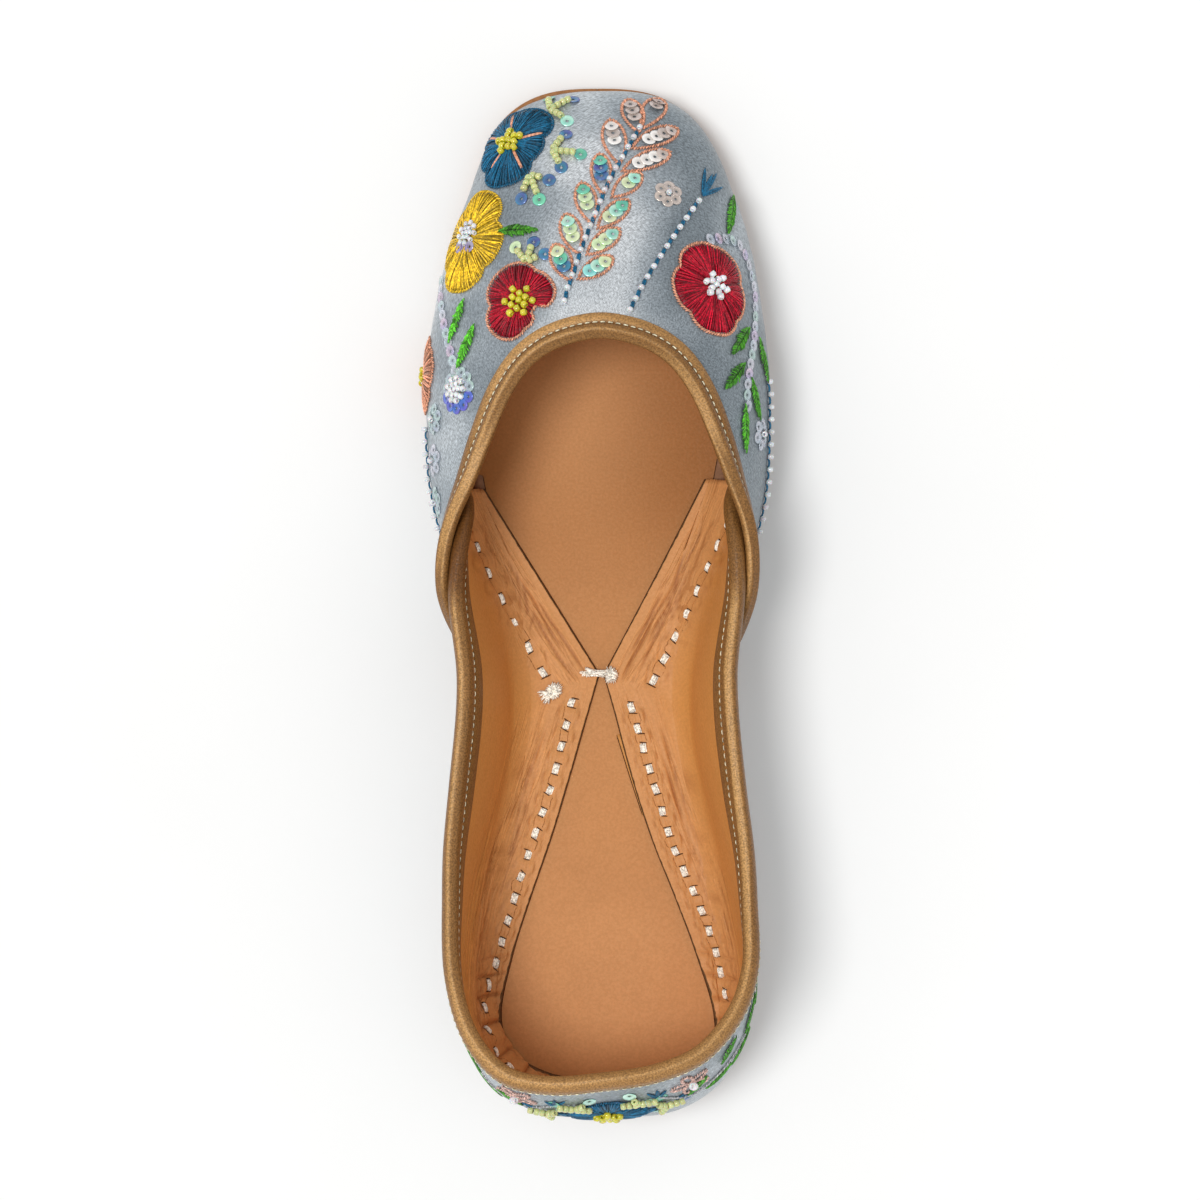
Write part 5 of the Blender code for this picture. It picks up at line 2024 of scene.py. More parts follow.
# How far apart a green leaf's stitches lie
LEAF_PITCH = 0.36
LEAVES = (
    # A green leaf: its two ends, its width, and how light its thread is painted: painted light and shade for
    # how it faces the light
    ("from", "to", "width", "light"),
    (
        ((-23.6, 88.8, 30.0), (-14.4, 88.9, 33.8), 3.2, 0.52),
        ((32.0, 98.4, 13.4), (31.7, 88.9, 22.6), 3.0, 0.58),
        ((-32.0, 72.6, 29.7), (-35.4, 62.6, 28.4), 3.3, 1.15),
        ((-29.1, 66.2, 34.2), (-33.2, 56.2, 32.2), 3.5, 1.10),
        ((36.9, 65.8, 26.6), (33.0, 59.2, 33.9), 3.6, 0.52),
        ((39.2, 63.4, 22.4), (41.2, 53.0, 20.2), 3.6, 0.62),
        ((35.8, 57.0, 31.0), (31.3, 50.7, 37.4), 3.6, 0.50),
        ((37.2, 53.4, 29.6), (39.2, 43.8, 26.4), 3.2, 0.65),
        ((35.8, 47.0, 32.6), (36.2, 35.6, 32.6), 3.2, 0.80),
    ),
)


def add_leaf(heap, material, cloth, start, end, width, light):
    """Satin stitches slanting from both edges to a middle vein."""
    ends, _ = cloth.nearest(np.array([start, end]) * MM)
    count = max(10, int(np.linalg.norm(ends[1] - ends[0]) / (LEAF_PITCH * MM)))
    share = np.linspace(0.02, 0.98, count)
    places, normals = cloth.nearest(straight(ends, share))
    run = unit(np.gradient(places, axis=0))
    side = np.cross(normals, run)
    half = 0.5 * width * MM * np.sin(share**0.85 * math.pi) ** 0.8
    slope = np.linspace(0.0, 1.0, 5)
    for hand in (-1.0, 1.0):
        ragged = half * RANDOM.uniform(0.66, 1.16, count)
        slant = 1.1 * MM * RANDOM.uniform(0.8, 1.5, count)
        out = hand * ragged[:, None, None] * slope[None, :, None]
        ahead = slant[:, None, None] * (slope[None, :, None] - 0.3)
        paths = places[:, None] + side[:, None] * out + run[:, None] * ahead
        paths, up = cloth.nearest(paths)
        arch = (0.12 + 0.34 * np.sin(slope * math.pi * 0.8 + 0.35))[None, :, None] * MM
        # Some threads painted dark and the rest painted light: painted shade and painted highlight
        tone = light * tones(count, 0.30) * np.where(RANDOM.random(count) < 0.3, 0.55, 1.2)
        add_threads(heap, paths + up * arch, up, 0.21 * MM, material, tone)


SPRAY_STEM = (
    (-7.3, 70.6), (-6.6, 73.6), (-5.2, 77.8), (-3.3, 84.0), (0.6, 94.4), (3.4, 101.6), (6.4, 107.2),
    (10.6, 115.2),
)
SECOND_STEM = ((8.2, 68.4), (12.2, 76.4), (18.2, 86.4), (24.6, 96.4))
# Blue blades at the second stem's tip
STEM_PRONGS = ((26.1, 105.2, 19.4), (28.6, 103.8, 16.6), (30.3, 100.4, 17.0), (27.6, 103.4, 18.4))
STEM_PRONG_ROOT = (25.2, 97.6, 24.0)
SPRAY_LEAVES = (
    # Where the leaf leaves the stem, its tip, its width, and its sequins from the stem outwards
    ("root", "tip", "width", "sequins"),
    (
        ((-5.9, 76.4), (-9.9, 85.3), 4.9, ("violet", "green", "yellow")),
        ((-4.1, 83.0), (-7.3, 92.8), 5.0, ("yellow", "yellow", "mint")),
        ((-0.9, 90.4), (-3.6, 100.7), 5.0, ("yellow", "yellow", "green")),
        ((1.6, 97.8), (0.7, 108.0), 4.8, ("violet", "violet", "green")),
        ((5.5, 105.4), (3.0, 116.8), 5.6, ("pearl", "blush", "pearl")),
        ((10.0, 113.6), (7.3, 122.2), 5.2, ("blush", "blush", "blush")),
        ((10.8, 114.6), (15.3, 122.4), 5.4, ("blush", "blush")),
        ((-3.9, 76.7), (4.3, 82.0), 4.6, ("cyan", "mint", "yellow")),
        ((-1.9, 82.7), (5.8, 89.0), 4.6, ("yellow", "yellow", "mint")),
        ((0.6, 89.2), (7.9, 96.2), 4.7, ("yellow", "mint", "green")),
        ((3.9, 97.0), (10.8, 103.0), 4.7, ("yellow", "mint")),
        ((6.3, 103.6), (17.7, 108.5), 4.7, ("pearl", "pearl", "pearl", "blush")),
        ((8.6, 109.4), (19.5, 114.6), 5.0, ("pearl", "pearl", "blush", "blush")),
    ),
)


def add_spray_leaf(heaps, materials, cloth, root, tip, width, kinds):
    """An outlined leaf with a row of overlapping sequins in it, the one at the stem on top."""
    ends = cloth.below(np.array([root, tip]) * MM)[0]
    share = np.linspace(0.0, 1.0, 25)
    spine, normals = cloth.nearest(straight(ends, share))
    run = unit(np.gradient(spine, axis=0))
    side = np.cross(normals, run)
    belly = 0.5 * width * MM * (np.sin(share**1.25 * math.pi) ** 0.62)
    edges = [spine + hand * side * belly[:, None] for hand in (-1.0, 1.0)]
    outline = np.concatenate([edges[0], edges[1][::-1]])
    add_twist(heaps["cords"], cloth, cloth.nearest(outline)[0], materials["peach_thread"])
    length = np.linalg.norm(ends[1] - ends[0])
    last = length - 2.1 * MM
    first = max(0.30 * length, last - 2.3 * MM * (len(kinds) - 1))
    at = np.linspace(first, last, len(kinds)) if len(kinds) > 1 else np.array([0.5 * length])
    for order, (distance, kind) in enumerate(zip(at, kinds)):
        place = ends[0] + (ends[1] - ends[0]) * distance / length
        centre, normal = cloth.nearest(place[None])
        rise = 0.16 + 0.10 * (len(kinds) - order)
        sew_sequins(heaps, materials, centre, normal, run[12:13], kind, rise, 3.5)


# How far the first bead of a beaded line lies from its start
LINE_START = 0.6


def add_beaded_line(heaps, materials, cloth, path, pitch=3.05):
    """Blue running stitches with a clear bead between each two."""
    spaced, run = along_path(path, pitch * MM, LINE_START * MM)
    places, normals = cloth.nearest(spaced)
    add_beads(
        heaps["beads"], places + normals * 0.75 * MM, run, normals, 1.55 * MM, 1.15 * MM,
        materials["crystal_bead"], tones(len(places), 0.05),
    )
    spaced, run = along_path(path, pitch * MM, (LINE_START + pitch / 2) * MM)
    places, normals = cloth.nearest(spaced)
    side = np.cross(normals, run)
    leaning = unit(run + 0.16 * side)
    for shift in (-0.20, 0.20):
        centres = places + side * shift * MM + normals * 0.15 * MM
        add_dashes(
            heaps["cords"], centres, leaning, normals, 2.1 * MM, 0.30 * MM, materials["blue_thread"],
            tones(len(places)),
        )


CHAIN_PITCH = 2.7
SEQUIN_CHAINS = (
    # Rows of single clear sequins along the sides, their kinds in turn
    ("path", "kinds"),
    (
        (((27.6, 87.0, 28.6), (31.2, 87.2, 24.4), (34.3, 86.0, 20.6), (36.4, 81.4, 19.4),
          (37.9, 75.5, 19.6), (38.5, 68.5, 22.4), (38.1, 61.5, 26.2), (37.0, 55.0, 29.8),
          (36.3, 49.5, 31.4), (36.4, 45.4, 31.2)), ("clear", "rose_clear", "clear", "mint_clear")),
        (((-38.4, 77.6, 17.6), (-37.8, 71.0, 22.6), (-36.6, 64.4, 26.8), (-35.0, 58.8, 30.0),
          (-33.9, 55.0, 31.8)), ("mint_clear", "clear", "rose_clear")),
    ),
)

SEQUIN_FLOWERS = (
    # A bead with a ring of sequins round it
    ("place", "distance", "count", "kind"),
    (
        ((17.4, 97.9), 2.2, 6, "blush"),
        ((39.9, 39.8, 25.0), 2.6, 6, "clear"),
        ((-39.6, 43.6, 25.0), 2.5, 6, "mint_clear"),
        ((-39.9, 33.6, 24.4), 2.6, 6, "clear"),
        ((-39.4, 23.4, 23.6), 2.5, 6, "mint_clear"),
    ),
)

SIDE_LINES = (
    ((41.4, 53.4, 19.6), (41.7, 44.5, 19.4), (41.5, 34.0, 19.0), (40.4, 23.4, 18.0), (39.0, 13.0, 17.0)),
    ((-41.6, 42.0, 18.4), (-41.2, 31.0, 18.2), (-40.2, 20.0, 17.6), (-38.8, 9.0, 17.0)),
)


def add_prongs(heap, material, cloth, root, tips):
    """Flat blades of thread that spread from one root."""
    for tip in tips:
        ends = cloth.nearest(np.array([root, tip]) * MM)[0]
        line, normals = cloth.nearest(straight(ends, np.linspace(0, 1, 7)))
        side = np.cross(normals, unit(line[-1:] - line[:1]))
        blade = np.sin(np.linspace(0.15, 1.0, 7) * math.pi)[:, None]
        for shift in (-0.40, -0.13, 0.13, 0.40):
            paths = (line + normals * 0.15 * MM + side * blade * shift * MM)[None]
            add_threads(heap, paths, normals[None], 0.17 * MM, material, tones(1, 0.35))


def add_sequin_fan(heaps, materials, motif, angles, distances, kind, rise=SEQUIN_RISE, spread=0.08):
    """Sequins round a motif, each with its outer edge down."""
    places, normals = motif.lay(np.array(angles, float), distances)
    outward = unit(places - motif.centre)
    sew_sequins(heaps, materials, places, normals, outward, kind, rise, spread=spread)


# A bead in the very middle of a motif
MIDDLE = [(0.0, 0.05)]


def add_sequin_flower(heaps, materials, cloth, place, distance, count, kind):
    """A bead with a ring of sequins round it."""
    motif = Motif(cloth, place)
    angles = 360.0 / count * np.arange(count) + 12.0
    add_sequin_fan(heaps, materials, motif, angles, distance, kind, rise=0.2)
    add_bead_cluster(heaps, materials["crystal_bead"], motif, MIDDLE, 1.6, 1.2, 0.1)


# Compass angle and length of the blue flower's five peach rays, which lie between its petals
BLUE_RAYS = ((341, 9.6), (66, 8.2), (142, 9.4), (205, 7.6), (291, 8.8))
# A fringe of tiny clear beads and three violet sequins at the yellow flower's middle
FRINGE = (-31.0, 88.6, 24.2)
FRINGE_ANGLES = (150.0, 180.0, 212.0)
FRINGE_DISTANCES = (4.0, 3.7, 4.1)


def embroider_flowers(heaps, materials, cloth):
    """The five flowers with petals, their beads, rays and fringe."""
    motifs = {}
    for flower in named_rows(PETAL_FLOWERS):
        name = flower.pop("name")
        motifs[name] = add_flower(heaps, materials, cloth, **flower)
    for angle, length in BLUE_RAYS:
        spots, normals = motifs["blue"].lay(np.full(6, angle), np.linspace(2.6, length, 6))
        side = np.cross(normals, unit(spots[-1:] - spots[:1]))
        for shift in (-0.16, 0.16):
            paths = (spots + normals * 0.72 * MM + side * shift * MM)[None]
            add_threads(heaps["cords"], paths, normals[None], 0.24 * MM, materials["peach_thread"])
    for name in ("blue", "left_red", "right_red", "peach"):
        add_bead_rings(heaps, materials, motifs[name], name)
    fringe = Motif(cloth, FRINGE)
    add_bead_rings(heaps, materials, fringe, "fringe")
    add_sequin_fan(
        heaps, materials, fringe, FRINGE_ANGLES, FRINGE_DISTANCES, "lilac", rise=0.9, spread=0.1,
    )


def embroider_sprays(heaps, materials, cloth):
    """Sprigs, green leaves, and the two beaded stems with what grows on them."""
    for place, arms in LIME_SPRIGS[1]:
        add_sprig(heaps, materials, cloth, place, arms)
    for start, end, width, light in LEAVES[1]:
        add_leaf(heaps["petals"], materials["green_thread"], cloth, start, end, width, light)
    for root, tip, width, kinds in SPRAY_LEAVES[1]:
        add_spray_leaf(heaps, materials, cloth, root, tip, width, kinds)
    add_beaded_line(heaps, materials, cloth, cloth.below(smooth_line(SPRAY_STEM, 60))[0], 3.45)
    add_beaded_line(heaps, materials, cloth, cloth.below(smooth_line(SECOND_STEM, 40))[0], 3.3)
    add_prongs(heaps["cords"], materials["blue_thread"], cloth, STEM_PRONG_ROOT, STEM_PRONGS)


# White bead flower on the outer side, and the sequins round it: mint above and blue below
BUNCH = (-33.4, 50.4, 33.0)
BUNCH_SEQUINS = (
    ("mint_clear", (275, 308, 341, 14, 47, 80), 4.3),
    ("blue", (245, 212, 179, 146, 113), 4.5),
)


def embroider_sides(heaps, materials, cloth):
    """Sequin chains, sequin flowers, beaded lines and the bead flower along the vamp's sides."""
    for path, kinds in SEQUIN_CHAINS[1]:
        spaced, run = along_path(cloth.nearest(smooth_line(path, 80))[0], CHAIN_PITCH * MM)
        places, normals = cloth.nearest(spaced)
        for order, kind in enumerate(kinds):
            some = slice(order, None, len(kinds))
            sew_sequins(heaps, materials, places[some], normals[some], run[some], kind)
    for place, distance, count, kind in SEQUIN_FLOWERS[1]:
        add_sequin_flower(heaps, materials, cloth, place, distance, count, kind)
    for path in SIDE_LINES:
        add_beaded_line(heaps, materials, cloth, cloth.nearest(smooth_line(path, 80))[0])
    bunch = Motif(cloth, BUNCH)
    add_bead_rings(heaps, materials, bunch, "bunch")
    for kind, angles, distance in BUNCH_SEQUINS:
        add_sequin_fan(heaps, materials, bunch, angles, distance, kind)


# The back of the heel: its middle, and the blue flower there
HEEL_MIDDLE = 2.8
HEEL_FLOWER = (3.0, -124.6, 31.6)
HEEL_PETALS = tuple((angle, 9.6, 42) for angle in (0, 72, 144, 216, 288))
# A flower of five pink loops with a white bead, on the inner side; mirrored for the outer
PINK_FLOWER = (23.2, -116.1, 40.7)
PINK_LOOPS = (10, 82, 154, 226, 298)
HEEL_PRONGS = (
    # Blue blades on the inner side; mirrored for the outer
    ("root", "tips"),
    (
        ((15.0, -119.4, 39.0), ((12.6, -118.6, 43.6), (15.0, -117.6, 43.8), (17.2, -117.6, 42.4))),
        ((14.6, -123.0, 33.0), ((10.6, -124.4, 32.4), (11.8, -124.6, 29.0))),
        ((19.4, -120.6, 35.0), ((22.6, -119.2, 37.4), (22.8, -119.8, 33.0))),
    ),
)
HEEL_SPRIGS = (
    # On the inner side; mirrored for the outer
    ("place", "arms"),
    (
        ((10.6, -121.0, 39.4), ((252, 5.2, "violet"), (72, 5.4, "green"), (320, 5.0, "mint"))),
        ((17.0, -121.4, 34.8), ((282, 5.0, "mint"), (62, 5.4, "violet"), (170, 5.4, "green"))),
    ),
)
HEEL_LEAVES = (
    # Leaves along a silver stem on the inner side of the heel; mirrored for the outer
    ("from", "to", "width"),
    (
        ((22.1, -119.3, 35.4), (26.4, -115.0, 39.2), 2.8),
        ((26.4, -117.8, 32.8), (32.1, -112.4, 32.6), 2.8),
        ((30.0, -111.6, 38.8), (33.6, -105.3, 41.6), 2.8),
        ((32.2, -112.4, 31.4), (36.6, -104.2, 29.6), 2.8),
        ((35.9, -104.8, 34.0), (38.0, -95.6, 36.4), 2.8),
        ((37.4, -98.0, 29.6), (38.4, -88.6, 27.4), 2.8),
    ),
)
# How light the heel leaves' thread is painted: painted shade
HEEL_LEAF_PAINTED_LIGHT = 0.6
HEEL_STEM = (
    (15.5, -119.6, 39.6), (22.8, -119.7, 33.9), (29.5, -114.6, 34.4), (35.0, -106.6, 33.6),
    (37.4, -97.4, 32.6), (38.4, -87.0, 31.6),
)


def add_loop_flower(heaps, materials, cloth, place):
    """Five loops of pink cord round a white bead."""
    motif = Motif(cloth, place)
    turn = np.linspace(0.0, 2 * math.pi, 25)
    out = 2.9 - 2.2 * np.cos(turn)
    half_width = np.degrees(1.25 * np.sin(turn) / out)
    for angle in PINK_LOOPS:
        loop = motif.lay(angle + half_width, out)[0]
        add_twist(heaps["cords"], cloth, loop, materials["pink_thread"])
    add_bead_cluster(heaps, materials["white_bead"], motif, MIDDLE, 2.1, 1.7, 0.2)


def embroider_heel_side(heaps, materials, cloth, side):
    """One half of the heel's embroidery: side is 1 for the inner half and -1 for its mirror image."""

    def mirrored(place):
        return (HEEL_MIDDLE + side * (place[0] - HEEL_MIDDLE), place[1], place[2])

    blue, green = materials["blue_thread"], materials["green_thread"]
    for place, arms in HEEL_SPRIGS[1]:
        turned = tuple((side * angle, length, kind) for angle, length, kind in arms)
        add_sprig(heaps, materials, cloth, mirrored(place), turned)
    for root, tips in HEEL_PRONGS[1]:
        add_prongs(heaps["cords"], blue, cloth, mirrored(root), [mirrored(tip) for tip in tips])
    add_loop_flower(heaps, materials, cloth, mirrored(PINK_FLOWER))
    for start, end, width in HEEL_LEAVES[1]:
        ends = mirrored(start), mirrored(end)
        add_leaf(heaps["petals"], green, cloth, *ends, width, HEEL_LEAF_PAINTED_LIGHT)
    stem = cloth.nearest(smooth_line([mirrored(p) for p in HEEL_STEM], 60))[0]
    add_twist(heaps["cords"], cloth, stem, materials["silver_thread"], 0.6, 1.1, 0.2)


def embroider_heel(heaps, materials, cloth):
    """Symmetric about the middle of the back."""
    flower = add_flower(heaps, materials, cloth, HEEL_FLOWER, HEEL_PETALS, "blue_thread", "", 0.84)
    add_bead_rings(heaps, materials, flower, "blue")
    for side in (-1.0, 1.0):
        embroider_heel_side(heaps, materials, cloth, side)


# ---------------------------------------------------------------------------------------------
# Seams and cotton stitches
# ---------------------------------------------------------------------------------------------


def edge_line(top, depth, stations, down, out):
    """A line that runs this far below a wall's top edge, this far out from the wall."""
    share, _, _, off = edge_frame(top, stations, depth)
    place, height = down_from_edge(stations, share, off, down)
    line = skin(place, height, depth(place) - out)
    deeper = skin(place, height, depth(place) - out - 0.1 * MM)
    return line, unit(deeper - line)


def add_seam(heap, line, normals, pitch, length, radius, material):
    """A machine-sewn row of short stitches along a line."""
    spaced, run = along_path(line, pitch * MM)
    step = lengths_along(line)
    at = np.arange(0.0, step[-1], pitch * MM)
    up = unit(np.stack([np.interp(at, step, normals[:, k]) for k in range(3)], -1))
    add_dashes(heap, spaced, run, up, length * MM, radius * MM, material, tones(len(spaced), 0.12))


# How far out from the wall the machine stitches lie, as a share of the strip's thickness
SEAM_HEIGHT = 0.86
# Where along the shoe the knot on the rim lies
KNOT_ALONG = -0.0862


def sew_bindings(heap, materials):
    """The machine seams that hold both strips, and one knot on the rim."""
    leather = GAP + BINDING_LEATHER
    seam = SEAM_HEIGHT * leather
    thread = materials["seam_thread"]
    stations = vamp_edge_stations(*VAMP_STRIP_COUNTS)
    line, up = edge_line(wing_top, vamp_depth, stations, VAMP_SEAM, seam)
    add_seam(heap, line, up, 1.85, 1.25, 0.19, thread)
    stations = quarter_edge_stations(*QUARTER_STRIP_COUNTS)
    line, up = edge_line(quarter_top, quarter_inset, stations, QUARTER_SEAM, -QUARTER_WALL - seam)
    add_seam(heap, line, -up, 1.9, 1.25, 0.15, thread)
    line, up = edge_line(quarter_top, quarter_inset, stations, 2.1 * MM, leather + 0.02 * MM)
    add_seam(heap, line, up, 1.9, 1.2, 0.17, thread)
    # A knot that came through on top of the rim, left of the heel
    line, _ = edge_line(quarter_top, quarter_inset, stations, -QUARTER_ROLL, -0.5 * MM)
    at = np.argmin(np.abs(line[:, 1] - KNOT_ALONG) + (line[:, 0] > 0.0))
    knot, ahead = line[at : at + 1], unit(line[at + 1 : at + 2] - line[at : at + 1])
    above = np.array([[0.0, 0.0, 1.0]])
    for shift in (-0.25, 0.25):
        place = knot + np.cross(ahead, above) * shift * MM
        add_dashes(heap, place, ahead, above, 1.7 * MM, 0.34 * MM, materials["cotton"])


ROW_POINTS = 160
COTTON_ROWS = (
    # A few places on each hand-sewn row, in mm, and how many stitches it has
    ("row", "count"),
    (
        (((-32.6, 18.6), (-26.7, 4.9), (-20.8, -6.0), (-13.9, -18.0)), 7),
        (((31.9, 18.6), (26.0, 5.5), (21.2, -4.9), (13.5, -20.1)), 8),
        (((-6.7, -25.6), (-11.4, -45.0), (-18.9, -67.6), (-25.3, -89.4), (-28.2, -99.5), (-27.6, -105.6),
          (-25.6, -111.4), (-21.8, -115.3), (-16.9, -118.0)), 19),
        (((8.0, -26.7), (14.1, -47.2), (18.3, -60.7), (25.0, -75.9), (28.7, -86.0), (31.2, -97.0)), 15),
    ),
)


# A cotton stitch: its length, its strands' radius, and how far each lies to the side and above
# the leather; slits lie at this share of its length from its middle
COTTON_LENGTH = 2.7
COTTON_RADIUS = 0.28
COTTON_STRANDS = ((-0.58, 0.14), (-0.20, 0.33), (0.20, 0.33), (0.58, 0.14))
SLIT_AT = 0.54
SLIT_LENGTH = 2.5
# The fine folds between two stitches: how far to the side, and how many of them are seen
FOLDS_OFF = (-1.25, 1.25)
FOLDS_SEEN = 0.75


def in_sight(leather, spots):
    """The leather that the camera sees at these places of the insole, (x, y)."""
    places = np.concatenate([spots, np.full((len(spots), 1), INSOLE_LEVEL)], axis=1)
    back = np.array(CAMERA_PLACE) - places
    starts = places + back * (0.018 / back[:, 2:])
    hits = [leather.tree.ray_cast(Vector(s), Vector(-b)) for s, b in zip(starts, back)]
    return leather.read(hits)


def sew_cotton_row(heaps, materials, leather, row, count):
    """One row of cotton stitches, the slits at their ends and thin dark lines of painted shade for the folds
    that join those.
    """
    path = smooth_line(row, ROW_POINTS)
    flat = np.concatenate([path, np.zeros((len(path), 1))], axis=1)
    length = np.linalg.norm(np.diff(flat, axis=0), axis=-1).sum()
    spaced, run = along_path(flat, length / (count - 1) * 0.9999)
    number = len(spaced)
    spaced = spaced + run * RANDOM.uniform(-0.25, 0.25, (number, 1)) * MM
    places, normals = in_sight(leather, spaced[:, :2])
    run = unit(run - normals * (run * normals).sum(-1, keepdims=True))
    side = np.cross(normals, run)
    turned = unit(run + side * RANDOM.uniform(-0.14, 0.14, (number, 1)))
    long = COTTON_LENGTH * MM * (1.0 + RANDOM.uniform(-0.14, 0.14, number))
    for strand, rise in COTTON_STRANDS:
        centres = places + side * strand * MM + normals * rise * MM
        add_dashes(
            heaps["cotton"], centres, turned, normals, long, COTTON_RADIUS * MM, materials["cotton"],
            tones(number, 0.05), flat=1.0,
        )
    # Slits at a slant to the row
    lean = unit(side + run * RANDOM.uniform(-0.1, 0.5, (number, 1)))
    reach = turned * SLIT_AT * long[:, None]
    for end in (-1.0, 1.0):
        middle = places + end * reach + lean * RANDOM.uniform(-0.2, 0.4, (number, 1)) * MM
        slit, over = leather.nearest(middle)
        wide = SLIT_LENGTH * MM * (1.0 + RANDOM.uniform(-0.2, 0.2, number))
        add_dashes(
            heaps["slits"], slit + over * 0.06 * MM, lean, over, wide, 0.15 * MM, materials["slit"],
            flat=0.7, lift=0.4,
        )
    # Fine folds from stitch to stitch, drawn as thin dark lines of painted shade
    shares = np.linspace(0.0, 1.0, 6)[None, :, None]
    for off in FOLDS_OFF:
        start = places[:-1] + (reach[:-1] + side[:-1] * off * MM)
        finish = places[1:] - (reach[1:] - side[1:] * off * MM)
        size = RANDOM.uniform(-0.3, 0.5, (len(start), 1, 1))
        bulge = np.sin(shares * math.pi) * size * MM * np.sign(off)
        paths = start[:, None] * (1.0 - shares) + finish[:, None] * shares + side[:-1, None] * bulge
        paths, over = leather.nearest(paths)
        seen = RANDOM.random(len(paths)) < FOLDS_SEEN
        add_threads(
            heaps["slits"], (paths + over * 0.02 * MM)[seen], over[seen], 0.08 * MM,
            materials["painted_fold_shade"], tones(seen.sum(), 0.15), flat=0.7, lift=0.4,
        )


def sew_cotton(heaps, materials, leather):
    """Thick cotton stitches along the turned-in leather, each between two dark slits."""
    for row, count in COTTON_ROWS[1]:
        sew_cotton_row(heaps, materials, leather, row, count)


UNDER_LAYERS = (
    # Leather that peeps out from underneath: its seen and its hidden edge in mm, and its material
    ("seen", "hidden", "material"),
    (
        (((4.3, -33.6), (5.9, -38.6), (7.5, -43.7), (10.7, -53.3)),
         ((5.4, -33.4), (6.8, -38.4), (8.1, -43.5), (11.1, -53.2)), "folded"),
        (((29.0, 34.4), (27.9, 28.2)), ((32.0, 35.4), (32.0, 27.2)), "tab"),
        (((-28.0, 26.0), (-28.8, 30.2)), ((-30.9, 25.2), (-31.0, 31.0)), "tab"),
    ),
)


UNDER_POINTS = 24
UNDER_THICKNESS = 0.30


def add_under_layers(heap, materials):
    """Narrow strips of leather on the insole, with a dark line along the edge that is seen."""
    for layer in named_rows(UNDER_LAYERS):
        seen, hidden = (smooth_line(layer[k], UNDER_POINTS) for k in ("seen", "hidden"))
        base = np.array([insole_top(y) for y in seen[:, 1]])[:, None]
        low, high = base - 0.05 * MM, base + UNDER_THICKNESS * MM
        pairs = ((seen, low), (seen, high), (hidden, high), (hidden, low))
        corners = np.stack([np.concatenate(pair, axis=1) for pair in pairs], axis=1)
        heap.add(corners.reshape(1, -1, 3), thread_quads(UNDER_POINTS), materials[layer["material"]])
        line = np.concatenate([seen, high], axis=1)[None]
        up = np.broadcast_to(np.array([0.0, 0.0, 1.0]), line.shape)
        add_threads(heap, line, up, 0.11 * MM, materials["slit"], lift=0.0)


def add_tuft(heap, material, leather, place, angle, length, count, spread):
    """The frayed end of a cotton thread: loose fibres fanning out over the leather."""
    base, normal = leather.below(np.array([place]) * MM)
    base, normal = base[0], normal[0]
    ahead = unit(np.array([math.sin(math.radians(angle)), math.cos(math.radians(angle)), 0.0]))
    side = np.cross(normal, ahead)
    turn = np.radians(RANDOM.uniform(-spread, spread, count))
    long = length * MM * RANDOM.uniform(0.55, 1.0, count)
    rise = RANDOM.uniform(0.15, 1.1, count) * MM
    curl = RANDOM.uniform(-0.5, 0.5, count) * MM
    shares = np.linspace(0.0, 1.0, 7)
    out = ahead * np.cos(turn)[:, None] + side * np.sin(turn)[:, None]
    start = base + side * (RANDOM.uniform(-0.4, 0.4, count) * MM)[:, None]
    paths = (
        start[:, None]
        + out[:, None] * (shares[None, :] * long[:, None])[..., None]
        + normal * (0.25 * MM + rise[:, None] * np.sin(shares * 2.4)[None, :])[..., None]
        + side * (curl[:, None] * shares[None, :] ** 2)[..., None]
    )
    up = np.broadcast_to(normal, paths.shape)
    add_threads(heap, paths, up, 0.13 * MM, material, tones(count, 0.06), flat=1.0)


# The stitch over the crossing: its two ends, and how far its strands lie to the side and up
TIE_ENDS = ((-3.6, -17.9), (1.6, -18.8))
TIE_STRANDS = ((-0.72, 0.1), (-0.42, 0.35), (-0.1, 0.5), (0.24, 0.45), (0.52, 0.3), (0.78, 0.1))
TIE_POINTS = 9
TUFTS = (
    # Place, compass angle, length, fibres and half the angle that they fan out over
    ("place", "angle", "length", "count", "spread"),
    (
        ((2.9, -18.9), 90, 1.9, 220, 180),
        ((-3.4, -18.0), 200, 1.5, 26, 60),
        ((-11.2, -22.9), 130, 2.1, 220, 180),
        ((-11.8, -23.2), 235, 3.4, 60, 40),
    ),
)


def tie_straps(heap, material, leather):
    """One stitch across the crossing with a tuft beside it, and a loose end left of it."""
    ends = leather.below(np.array(TIE_ENDS) * MM)[0]
    line = straight(ends, np.linspace(0, 1, TIE_POINTS))
    up = np.broadcast_to(np.array([0.0, 0.0, 1.0]), line.shape)
    bow = 0.35 * MM * np.sin(np.linspace(0, math.pi, TIE_POINTS))[:, None]
    side = np.cross(up, unit(ends[1:] - ends[:1]))
    for strand, rise in TIE_STRANDS:
        twist = 0.22 * MM * np.sin(np.linspace(0, 5.0, TIE_POINTS) + strand * 3.0)[:, None]
        paths = (line + up * (bow + rise * MM) + side * (strand * MM + twist))[None]
        add_threads(heap, paths, up[None], 0.26 * MM, material, tones(1, 0.06))
    for tuft in named_rows(TUFTS):
        add_tuft(heap, material, leather, **tuft)


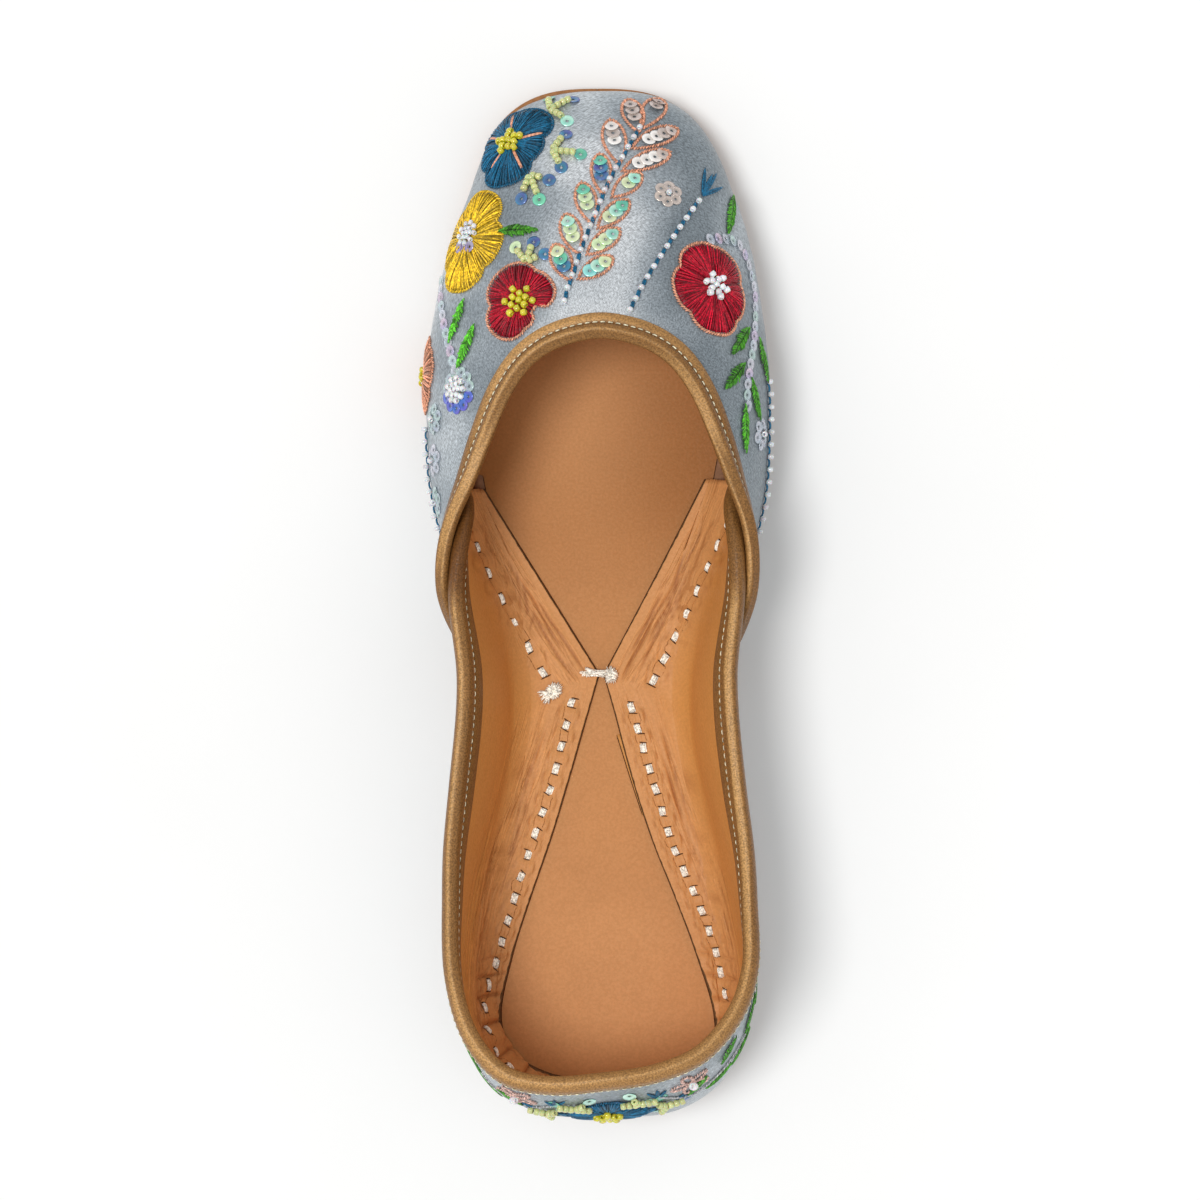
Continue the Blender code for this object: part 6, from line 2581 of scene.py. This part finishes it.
# ---------------------------------------------------------------------------------------------
# Stage
# ---------------------------------------------------------------------------------------------
CAMERA_AIM = (0.0004, -0.0004, 0.015)
FRAME_WIDTH = 0.294
SENSOR = 36.0
FLOOR_REACH = 4.0
WORLD_STRENGTH = 0.62
LIGHTS = (
    # The direction it comes from, its spread in degrees, and its strength
    ("name", "place", "spread", "strength"),
    (
        ("key", (-0.30, -0.04, 1.00), 22.0, 1.55),
        ("fill", (0.60, -0.50, 1.40), 60.0, 0.15),
    ),
)


def build_floor():
    mesh = bpy.data.meshes.new("floor")
    signs = ((-1, -1), (1, -1), (1, 1), (-1, 1))
    corners = [(x * FLOOR_REACH, y * FLOOR_REACH, 0.0) for x, y in signs]
    mesh.from_pydata(corners, [], [(0, 1, 2, 3)])
    paper, shader = new_material("pale_floor", Base_Color=colour(244, 244, 243), Roughness=0.9)
    cloud = noise(paper, own_places(paper), 6.0)
    tone = ramp(paper, cloud, ((0.3, colour(242, 242, 241)), (0.7, colour(246, 246, 245))))
    link(paper, tone, shader.inputs["Base Color"])
    mesh.materials.append(paper)
    floor = bpy.data.objects.new("floor", mesh)
    bpy.context.scene.collection.objects.link(floor)


def build_lights():
    world = bpy.data.worlds.new("studio")
    world.use_nodes = True
    background = world.node_tree.nodes["Background"]
    background.inputs["Color"].default_value = (1.0, 1.0, 1.0, 1.0)
    background.inputs["Strength"].default_value = WORLD_STRENGTH
    bpy.context.scene.world = world
    for name, place, spread, strength in LIGHTS[1]:
        lamp = bpy.data.lights.new(name, "SUN")
        lamp.angle = math.radians(spread)
        lamp.energy = strength
        thing = bpy.data.objects.new(name, lamp)
        thing.location = place
        thing.rotation_euler = (-Vector(place)).to_track_quat("-Z", "Y").to_euler()
        bpy.context.scene.collection.objects.link(thing)


def build_camera():
    """The photo's own viewpoint, its top edge towards the toe."""
    camera = bpy.data.cameras.new("camera")
    camera.sensor_width = SENSOR
    sight = Vector(CAMERA_PLACE) - Vector(CAMERA_AIM)
    camera.lens = SENSOR * sight.length / FRAME_WIDTH
    camera.clip_start = 0.01
    thing = bpy.data.objects.new("camera", camera)
    thing.location = CAMERA_PLACE
    back = sight.normalized()
    right = Vector((0.0, 1.0, 0.0)).cross(back).normalized()
    thing.rotation_euler = Matrix((right, back.cross(right), back)).transposed().to_euler()
    bpy.context.scene.collection.objects.link(thing)
    bpy.context.scene.camera = thing
    bpy.context.scene.view_settings.view_transform = "Standard"


PIECE_NAMES = {
    "beds": "petal_beds", "petals": "petal_threads", "cords": "outline_cords", "beads": "seed_beads",
    "sequins": "sequins", "seams": "seam_stitches", "cotton": "cotton_stitches", "slits": "stitch_slits",
    "under": "under_layers",
}


def main():
    build_floor()
    build_lights()
    build_camera()
    materials = build_materials()
    materials.update(build_trim_materials())
    vamp = Cloth(build_vamp(materials))
    quarter = Cloth(build_quarter(materials))
    build_vamp_binding(materials)
    build_quarter_binding(materials)
    leather = Cloth(build_lining(materials), -1.0)
    build_soles(materials)

    heaps = {key: Heap(name) for key, name in PIECE_NAMES.items()}
    embroider_flowers(heaps, materials, vamp)
    embroider_sprays(heaps, materials, vamp)
    embroider_sides(heaps, materials, vamp)
    embroider_heel(heaps, materials, quarter)
    sew_bindings(heaps["seams"], materials)
    sew_cotton(heaps, materials, leather)
    tie_straps(heaps["cotton"], materials["cotton"], leather)
    add_under_layers(heaps["under"], materials)
    for heap in heaps.values():
        heap.build()


main()
